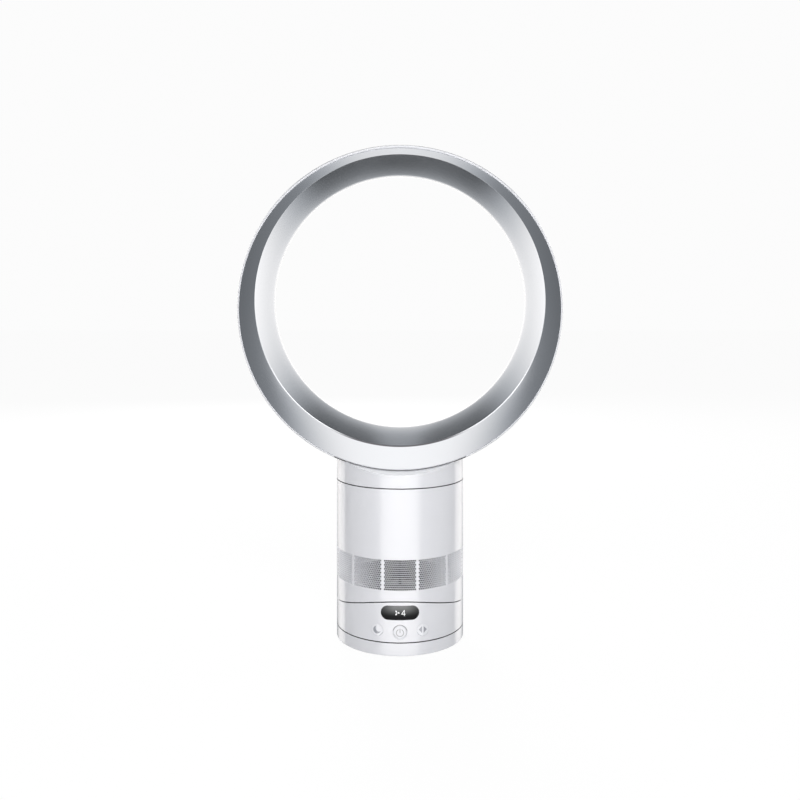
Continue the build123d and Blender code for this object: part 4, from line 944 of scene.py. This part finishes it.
# %% The air hole, and the white casing's finish with painted shade and light
DUCT_HOLE, DUCT_HOLE_AT = mm_rows([(90, 38, 40), (0, -15, 192)])
EDGE_Z, EDGE_LINE_R = OUTSIDE[0][1], 175.6 * MM
# painted shade on the front edge and painted light behind it, as two copies of the white
FRONT_EDGE_SHADED_WHITE, SIDE_LIT_WHITE = (0.79, 0.795, 0.83), (0.92, 0.925, 0.95)
cut(outer_casing, block("duct_hole", DUCT_HOLE, DUCT_HOLE_AT))
loop_white = white_plastic("loop_white")
x, y, z = loop_white.parts(loop_white.place())
# painted shade: a thin dark line on the white front edge, only over the neck
spread = (x * x + (z - EDGE_Z) ** 2.0) ** 0.5
line = loop_white.ramp(spread, EDGE_LINE_R - 0.05 * MM, EDGE_LINE_R + 0.05 * MM)
line = line * loop_white.ramp(y, -40.0 * MM, -40.5 * MM)
line = line * loop_white.ramp(abs(x), BODY_R, BODY_R - 0.2 * MM) * loop_white.ramp(z, 230 * MM, 229 * MM)
# painted light: the white is lighter behind the front edge than on it
white = loop_white.blend(loop_white.ramp(y, -41.8 * MM, -40.0 * MM), FRONT_EDGE_SHADED_WHITE, SIDE_LIT_WHITE)
loop_white.set(Base_Color=loop_white.blend(line, white, SEAM_SHADE_GREY), Coat_Weight=1.0 - line)
dress(outer_casing, "loop", "loop_outer_casing", loop_white, 25)

# %% [markdown]
# ## The silver casing
#
# From the front, the silver casing is a bevel that falls back from a crease to the white rim, and a
# long flare that leads the air through the opening. Both are very slightly crowned, as the real
# ones are, which is what makes the reflections change across them. It could be a cone with a bevel
# modifier, but then the crown would be missing, so its rows are worked out and drawn round like the
# white casing's. Just behind the throat it curls out of sight, so that the air slot stays hidden.

# %% Silver bevel, crease and flare
RIM_ROW, THROAT_ROW, END_ROW = mm_rows([(-42.0, 370.0, 175.35), (20.0, 379.4, 145.45), (38.0, 379.4, 150.0)])
CREASE_ROW = (CREASE_Y, INNER_Z, 156.6 * MM)
MOUTH = mm_rows([(22.4, 379.4, 145.6), (24.6, 379.4, 146.1), (26.6, 379.4, 146.95),
                 (28.4, 379.4, 148.1), (30.2, 379.4, 148.9)])
BEVEL_CROWN, FLARE_CROWN, SILVER = 0.5 * MM, 1.0 * MM, 2.0 * MM
BEVEL_SHARES = (0.02, 0.15, 0.3, 0.45, 0.6, 0.75, 0.88, 0.95)
FLARE_SHARES = (0.012, 0.04, 0.12, 0.25, 0.4, 0.55, 0.7, 0.85, 0.94, 1.0)


def between(start, end, share, crown_y=0.0, crown_r=0.0):
    """A row between two others, pushed out by a crown at its middle."""
    bow = 4 * share * (1 - share)
    y, z, r = [a + (b - a) * share for a, b in zip(start, end)]
    return (y - crown_y * bow, z, r - crown_r * bow)


rim_edge = [(RIM_ROW[0] + 0.5 * MM, RIM_ROW[1], RIM_ROW[2])]
bevel = [between(RIM_ROW, CREASE_ROW, share, crown_y=BEVEL_CROWN) for share in BEVEL_SHARES]
crease = [between(RIM_ROW, CREASE_ROW, 0.985, crown_y=BEVEL_CROWN),
          (CREASE_ROW[0] + 0.12 * MM, CREASE_ROW[1], CREASE_ROW[2] + 0.02 * MM)]
flare = [between(CREASE_ROW, THROAT_ROW, share, crown_r=FLARE_CROWN) for share in FLARE_SHARES]
tail = MOUTH + [END_ROW, (END_ROW[0], INNER_Z, END_ROW[2] + SILVER),
                (29.0 * MM, INNER_Z, 150.8 * MM), (20.0 * MM, INNER_Z, 147.6 * MM)]
behind = [(CREASE_ROW[0] + 2.6 * MM, INNER_Z, CREASE_ROW[2] + 1.8 * MM),
          (RIM_ROW[0] + SILVER, RIM_ROW[1], RIM_ROW[2])]
silver_rows = rim_edge + bevel + crease + flare + tail + behind
inner_casing = ring_skin("inner_casing", silver_rows)
dress(inner_casing, "loop", "loop_inner_casing", silver_paint, 28)

# %% [markdown]
# ## The control section's casing
#
# The casing is a short tube whose top is cut to the curved tilt seam. The window sits in a shallow
# recess with a smaller opening behind it, and three round holes take the buttons. The window's
# shape is used three times, so one helper draws it: a drum whose two halves are moved apart.

# %% Sizes of the front, the window's prism and a tube
BODY_SIDES = 384
SEAM_SIDES, CAP_SIDES = 720, 96
TURN_Z, BLANK_TOP = 15.6 * MM, 62 * MM
TOOL_FRONT, TOOL_BACK, FAR = -80 * MM, -50 * MM, 100 * MM
WINDOW_W, WINDOW_H = 40.8 * MM, 15.3 * MM
PANE, LEDGE, FIT, KEY_FIT = 1.6 * MM, 1.4 * MM, 0.1 * MM, 0.06 * MM
BUTTONS = [("power_button", POWER_AT, 8.0 * MM, 1.6 * MM, "power_key"),
           ("sleep_timer_button", SLEEP_AT, 6.6 * MM, 0.15 * MM, "sleep_timer_key"),
           ("oscillation_button", TURN_AT, 6.6 * MM, 0.15 * MM, "oscillation_key")]


def stadium(name, wide, high):
    """A prism along Y through the window's place, whose section is a bar with round ends."""
    obj = drum(name, high / 2, TOOL_FRONT, TOOL_BACK, 128, "Y", (0, WINDOW_Z))
    for side in (-1, 1):
        open_mesh(obj)
        pick(obj, lambda p: side * p.x > NEAR or (side > 0 and abs(p.x) <= NEAR))
        bpy.ops.transform.translate(value=(side * (wide - high) / 2, 0, 0))
    put_down()
    return obj


def shell(name, low, top):
    """A tube of the body's wall between two heights."""
    tube = drum(name, BODY_R, low, top, BODY_SIDES)
    cut(tube, drum("bore", BODY_R - WALL, low - 1 * MM, top + 1 * MM, BODY_SIDES))
    return tube


print("window", round(WINDOW_W / MM, 1), "by", round(WINDOW_H / MM, 1), "mm,", len(BUTTONS), "buttons")

# %% [markdown]
# The tube starts too tall, and a long drum that lies on the tilt axis cuts its top to the seam's
# curve. The recess is cut with a tool that was itself trimmed by a drum, so that its floor is curved
# like the wall. The holes go through the finished wall, and then every sharp edge gets the small
# radius of a moulding.

# %% The control casing
control = shell("control", TURN_Z, BLANK_TOP)
cut(control, drum("tilt_tool", CRADLE_R, -FAR, FAR, SEAM_SIDES, "X", (0, TILT_Z)))
cut(control, stadium("sight", WINDOW_W - 2 * LEDGE, WINDOW_H - 2 * LEDGE))
recess = stadium("recess", WINDOW_W + 2 * FIT, WINDOW_H + 2 * FIT)
cut(recess, drum("recess_floor", BODY_R - PANE, 0, FAR, BODY_SIDES))
cut(control, recess)
for node, centre, radius, dish, body in BUTTONS:
    cut(control, drum("hole", radius + KEY_FIT, TOOL_FRONT, TOOL_BACK, CAP_SIDES, "Y", centre))
tidy_mesh(control)
round_edges(control, EDGE_ROUND, angle=40)
dress(control, "control_section", "control_casing", casing_finish_with_seam_shade("control_white", TURN_Z, 1))

# %% [markdown]
# ## Window and buttons
#
# The window pane lies in the casing's round front, so its face has the same curve. A flat pane would
# stand out at its middle or sink at its ends, so a prism is trimmed by the tube that it fits.

# %% The window pane
pane = stadium("pane", WINDOW_W, WINDOW_H)
cut(pane, drum("pane_face", BODY_R, 0, FAR, BODY_SIDES * 2), "INTERSECT")
cut(pane, drum("pane_back", BODY_R - PANE + FIT, 0, FAR, BODY_SIDES))
tidy_mesh(pane)
round_edges(pane, EDGE_ROUND, angle=40)
dress(pane, "control_section", "display_window", window_black)

# %% [markdown]
# A button is a cap with a wide rim behind the wall, which stops it from falling out, and a stem that
# reaches the switch. The two side caps are dished by a very large ball. The power button is deeper,
# with a flat floor and a sloping wall, which a cone cuts better than a ball.

# %% Sizes of the caps, and two tools for their dishes
CAP_FRONT, CAP_BACK = -80 * MM, -60 * MM
SUNK, CAP_LIP, LIP_T, CAP_ROUND = 0.2 * MM, 1.2 * MM, 1.6 * MM, 0.25 * MM
LIP_FACE, LIP_LOW = BODY_R - WALL - 0.3 * MM, 18.4 * MM
STEM_R, STEM_TIP, STEM_ROOT = 1.5 * MM, -58.2 * MM, 0.8 * MM


def ball(centre, radius, deep, face_y):
    """A large ball that dishes a cap's face."""
    size = (radius ** 2 + deep ** 2) / (2 * deep)
    put_down()
    bpy.ops.mesh.primitive_uv_sphere_add(
        segments=192, ring_count=96, radius=size, location=(centre[0], face_y - size + deep, centre[1]))
    return settle(bpy.context.object, "ball")


def basin(centre, radius, deep, face_y):
    """A flat-bottomed cone that leaves a sloping wall round a cap's face."""
    put_down()
    bpy.ops.mesh.primitive_cone_add(
        vertices=CAP_SIDES, radius1=radius + deep, radius2=radius - deep, depth=2 * deep,
        location=(centre[0], face_y, centre[1]), rotation=(radians(-90), 0, 0))
    return settle(bpy.context.object, "basin")


print("cap faces", round(SUNK / MM, 2), "mm under the casing's face")

# %% [markdown]
# A cap is a drum that is trimmed in front and behind by large drums round the fan's axis, so that it
# follows the casing's curve. Its rim and its stem are joined on, the dish is cut last, and then the
# edges are rounded. Each cap rides on its own body, since it is pressed on its own.

# %% Three dished caps with their guide rims and stems
for node, centre, radius, dish, body in BUTTONS:
    cap = drum(node + "_cap", radius, CAP_FRONT, CAP_BACK, CAP_SIDES, "Y", centre)
    cut(cap, drum("face", BODY_R - SUNK, 0, FAR, BODY_SIDES * 2), "INTERSECT")
    cut(cap, drum("back", LIP_FACE - LIP_T, 0, FAR, BODY_SIDES))
    rim = drum("rim", radius + CAP_LIP, CAP_FRONT, CAP_BACK, CAP_SIDES, "Y", centre)
    cut(rim, drum("rim_face", LIP_FACE, LIP_LOW, FAR, BODY_SIDES), "INTERSECT")
    cut(rim, drum("rim_back", LIP_FACE - LIP_T, 0, FAR, BODY_SIDES))
    cut(cap, rim, "UNION")
    root = -sqrt((LIP_FACE - LIP_T) ** 2 - centre[0] ** 2)
    cut(cap, drum("stem", STEM_R, root - STEM_ROOT, STEM_TIP, 32, "Y", centre), "UNION")
    face_y = -sqrt((BODY_R - SUNK) ** 2 - centre[0] ** 2)
    dish_tool = basin if node == "power_button" else ball
    cut(cap, dish_tool(centre, radius, dish, face_y))
    tidy_mesh(cap)
    round_edges(cap, CAP_ROUND, angle=50)
    dress(cap, body, node, BUTTON_FINISHES[node])

# %% [markdown]
# ## Foot and neck
#
# The foot is a shallow tray with a hollow post at its middle. It is round all over, so it is turned
# from one profile, which starts and ends on the floor of the post's bore. Only the notch for the
# power inlet, at the rear, is cut afterwards.

# %% The foot, turned from its profile
FOOT = mm_rows([
    (1.0, 11.4), (1.0, 60.0), (1.8, 60.0), (1.8, 68.5), (1.0, 68.5), (1.0, 71.2), (1.05, 71.5), (1.23, 71.77),
    (1.5, 71.94), (1.8, 72.0), (14.55, 72.0), (14.72, 71.93), (14.8, 71.75), (14.8, 70.05), (14.72, 69.87),
    (14.55, 69.8), (3.5, 69.8), (3.5, 14.0), (21.3, 14.0), (21.3, 12.6), (22.5, 12.6), (22.5, 14.0),
    (24.3, 14.0), (24.3, 11.4), (3.5, 11.4)])
FOOT_TOP, INLET_W, INLET_MID, INLET_DEEP = 14.8 * MM, 9.2 * MM, 8.0 * MM, 8 * MM
foot = circle("foot", FOOT[0][1], (0, 0, FOOT[0][0]), BODY_SIDES)
grow_rings(foot, [(height, 0, radius) for height, radius in FOOT], "Z")
cap_ends(foot)
cut(foot, block("inlet_notch", (INLET_W, INLET_DEEP, INLET_W), (0, BODY_R, INLET_MID)))
dress(foot, "foot", "foot_base", casing_finish_with_seam_shade("foot_white", FOOT_TOP, -1))

# %% [markdown]
# The neck is a short tube whose top is hollowed to carry the round loop: it shows a narrow ledge in
# front of the white casing and behind it. The hollow has to follow the casing closely, so the tool
# that cuts it is drawn through the same rows of circles, set a tenth of a millimetre forward.

# %% The neck collar
NECK_LOW, NECK_FLOOR, NECK_BLANK, DUCT_R = 180.1 * MM, 2.3 * MM, 215 * MM, 62.5 * MM
LOOP_Z, NECK_SADDLE_R = 371.0 * MM, 177.0 * MM
BERTH_END = (47.6 * MM, 379.4 * MM, 158.0 * MM)
collar = drum("collar", BODY_R, NECK_LOW, NECK_BLANK, BODY_SIDES)
cut(collar, drum("neck_saddle", NECK_SADDLE_R, -FAR, FAR, SEAM_SIDES, "Y", (0, LOOP_Z)))
hollow = drum("hollow", BODY_R - WALL, NECK_LOW + NECK_FLOOR, NECK_BLANK, BODY_SIDES)
cut(hollow, drum("roof", NECK_SADDLE_R + WALL, -FAR, FAR, SEAM_SIDES, "Y", (0, LOOP_Z)))
cut(collar, hollow)
cut(collar, drum("duct_room", DUCT_R, NECK_LOW - 1 * MM, NECK_LOW + NECK_FLOOR + 1 * MM, BODY_SIDES))
berth_rows = [(outside_rows[0][0] - FIT, *outside_rows[0][1:])] + outside_rows[1:] + [BERTH_END]
berth = circle("berth", berth_rows[0][2], (0, berth_rows[0][0], berth_rows[0][1]), LOOP_SIDES, "Y")
grow_rings(berth, berth_rows)
cap_ends(berth)
cut(collar, berth)
tidy_mesh(collar)
round_edges(collar, EDGE_ROUND, angle=40)
dress(collar, "loop", "neck_collar", casing_finish_with_seam_shade("collar_white", NECK_LOW, 1))

# %% [markdown]
# The lower part of the silver bevel is a mirror for what stands under it. It should show only the
# light of the room, in one clean sweep, so the pieces below the loop are made invisible to reflected
# rays. That is a setting of the object for the render, and it changes nothing in the shapes.

# %% Pieces that reflections pass by
UNSEEN = ("neck", "bayonet", "main_casing", "keeper", "diffuser")
unseen = [piece for piece in bpy.context.scene.objects
          if piece.type == "MESH" and piece.name.startswith(UNSEEN)]
for piece in unseen:
    piece.visible_glossy = False
print("pieces that reflections pass by:", len(unseen))

# %% [markdown]
# ## Camera
#
# The camera stands where the photograph's did: about a metre in front, at the height of the loop's
# middle and looking very slightly down. The picture's frame is shifted, not tilted, to hold the
# whole fan.

# %% Camera
CAMERA_AT, CAMERA_TURN = (0, -0.986345, 0.363555), radians(88.5543)
SENSOR_W, LENS, FRAME_SHIFT = 36.0, 39.044, -0.0783
camera_data = bpy.data.cameras.new("camera")
camera_data.sensor_width, camera_data.lens, camera_data.shift_y = SENSOR_W, LENS, FRAME_SHIFT
camera = bpy.data.objects.new("camera", camera_data)
camera.location = CAMERA_AT
camera.rotation_euler = (CAMERA_TURN, 0, 0)
bpy.context.scene.collection.objects.link(camera)
bpy.context.scene.camera = camera
print("camera at", tuple(camera.location))

# %% [markdown]
# ## A white studio
#
# Silver and gloss show what is around them, so the room is drawn as a pattern of light by direction:
# a soft box in front, dark screens at both sides, narrow lights further back and a white cove
# behind that darkens upwards and downwards. The camera itself sees plain white.

# %% Directions in the room
world = bpy.data.worlds.new("studio")
world.use_nodes = True
bpy.context.scene.world = world
room = Desk(world.node_tree)
dx, dy, dz = room.parts(room.node("ShaderNodeTexCoord", out="Generated"))
facing = -dy / ((dx * dx + dy * dy) ** 0.5)
side = abs(dx)
spread = (dx * dx + dz * dz) ** 0.5


def from_angle(turn, soft=2.0):
    """1 for directions turned less than this angle from the camera's side."""
    return room.ramp(facing, cos(radians(turn + soft)), cos(radians(turn - soft)))


print("directions ready")

# %% [markdown]
# In front, the soft box is brightest at its middle and lighter still below, where it meets the pale
# floor. A dark band above eye level gives the bevel its dark sides, and a small bright patch low in
# front lights the bevel's lowest part and the middle of the body.

# %% Light in front
SCREEN, STRIP = 0.19, 1.5
below = room.ramp(dz, -0.2, -0.5)
dark_band = room.ramp(dz, 0.0, 0.1) * room.ramp(dz, 0.62, 0.5) * from_angle(50, 12)
soft_light = 0.35 * (1.0 - side) + room.ramp(side, 0.68, 0.20) * (0.60 + 0.32 * below)
patch = 1.9 * from_angle(34, 7) * room.ramp(abs(dz + 0.26), 0.14, 0.09)
front = SCREEN + soft_light * (1.0 - 0.8 * dark_band) + patch
print("front light ready")

# %% [markdown]
# The flare looks past the fan to the rear. There the cove is bright round the middle, falls off
# upwards and downwards, and rises again at both sides. Two strips of light stand beside it and put
# the pale edges on the body. Overhead and near the floor, the light of the front reaches further.

# %% Light behind
cove = 0.58 - 0.84 * spread + 0.6 * room.ramp(spread, 0.43, 0.25)
cove = cove + 3.9 * spread ** 1.7 * room.ramp(side / spread, 0.52, 1.12)
centre_line = 0.22 * room.ramp(dz, 0.0, 0.1) - 0.05 * room.ramp(dz, 0.0, -0.1)
cove = cove + room.ramp(side, 0.12, 0.03) * centre_line
strips = room.ramp(side, 0.56, 0.70) * room.ramp(abs(dz), 0.6, 0.4)
rear = (cove + strips * (STRIP - cove)).most(0.1)
overhead = room.ramp(abs(dz), 0.55, 0.75) * room.ramp(dy, 0.8, 0.65)
light = rear + (front - rear) * from_angle(118).most(overhead)
print("rear light ready")

# %% [markdown]
# Dim parts of the room are a little bluer than bright ones, which gives the silver its cool tone.
# Matt surfaces take most of their light from the lamps further on, so the room gives them only a
# third of its own. The camera is shown an even white instead of the pattern.

# %% What each kind of ray sees
MATT_SHARE, CAMERA_WHITE = 0.35, 0.972
seen = room.node("ShaderNodeLightPath", out="Is Camera Ray")
soft = room.node("ShaderNodeLightPath", out="Is Diffuse Ray")
tint = room.blend(room.ramp(light, 0.2, 1.3), (0.96, 1.0, 1.05), (1.02, 1.0, 0.985))
strength = light * (1.0 - (1.0 - MATT_SHARE) * soft) + seen * (CAMERA_WHITE - light)
background = world.node_tree.nodes["Background"]
room.tree.links.new(room.blend(seen, tint, (1, 1, 1)).socket, background.inputs["Color"])
room.tree.links.new(strength.socket, background.inputs["Strength"])
print("studio world ready")

# %% [markdown]
# Four large square lamps give the plastic its soft light: one high in front, one behind and a weak
# one at each side, so that the fan is white from all round. They are left out of reflections,
# because the pattern of the room already says what the silver shows.

# %% Lamps
LAMP_SIZE, LAMP_AIM = 1.1, Vector((0, 0, 0.25))
LAMPS = {"front_lamp": ((0.15, -2.1, 1.65), 46.5), "rear_lamp": ((-0.4, 2.3, 1.3), 38),
         "left_lamp": ((-2.3, 1.2, 1.2), 9), "right_lamp": ((2.3, 1.2, 1.2), 9)}
for lamp_name, (place, power) in LAMPS.items():
    data = bpy.data.lights.new(lamp_name, "AREA")
    data.size, data.energy = LAMP_SIZE, power
    lamp = bpy.data.objects.new(lamp_name, data)
    lamp.location = place
    lamp.rotation_euler = (LAMP_AIM - Vector(place)).to_track_quat("-Z", "Y").to_euler()
    lamp.visible_glossy = False
    bpy.context.scene.collection.objects.link(lamp)
print(len(LAMPS), "lamps ready")

# %% [markdown]
# The floor is plain and pale. The camera sees it nearly as white as the room: its material mixes
# plain white with a small share of matt grey, which keeps the fan's soft shadow. Reflected rays pass
# through it to the room.

# %% Floor
FLOOR_SIZE, FLOOR_WHITE, WHITE_SHARE = 40, 1.02, 0.93
put_down()
bpy.ops.mesh.primitive_plane_add(size=FLOOR_SIZE, location=(0, 0, 0))
floor = bpy.context.object
floor.name = "floor"
open_mesh(floor)
bpy.ops.mesh.select_all(action="SELECT")
bpy.ops.mesh.subdivide(number_cuts=3)
put_down()
pale = bpy.data.materials.new("pale_floor")
pale.use_nodes = True
desk = Desk(pale.node_tree)
matt = desk.node("ShaderNodeBsdfDiffuse", None, {"Color": (0.75, 0.75, 0.75, 1)})
white = desk.node("ShaderNodeEmission", None, {"Color": (1, 1, 1, 1), "Strength": FLOOR_WHITE})
path = desk.node("ShaderNodeLightPath", out="Is Camera Ray")
glossy = desk.node("ShaderNodeLightPath", out="Is Glossy Ray")
clear = desk.node("ShaderNodeBsdfTransparent")
shown = desk.node("ShaderNodeMixShader", None, {0: path * WHITE_SHARE, 1: matt, 2: white})
shown = desk.node("ShaderNodeMixShader", None, {0: glossy, 1: shown, 2: clear})
pale.node_tree.links.new(shown.socket, pale.node_tree.nodes["Material Output"].inputs["Surface"])
floor.data.materials.append(pale)
print("floor", FLOOR_SIZE, "m across")

# %% [markdown]
# ## Finish
#
# The dressed fan is meant to be as large as the engineering model. Its colours are shown through the Standard
# view transform.

# %% The view transform
bpy.context.scene.view_settings.view_transform = "Standard"
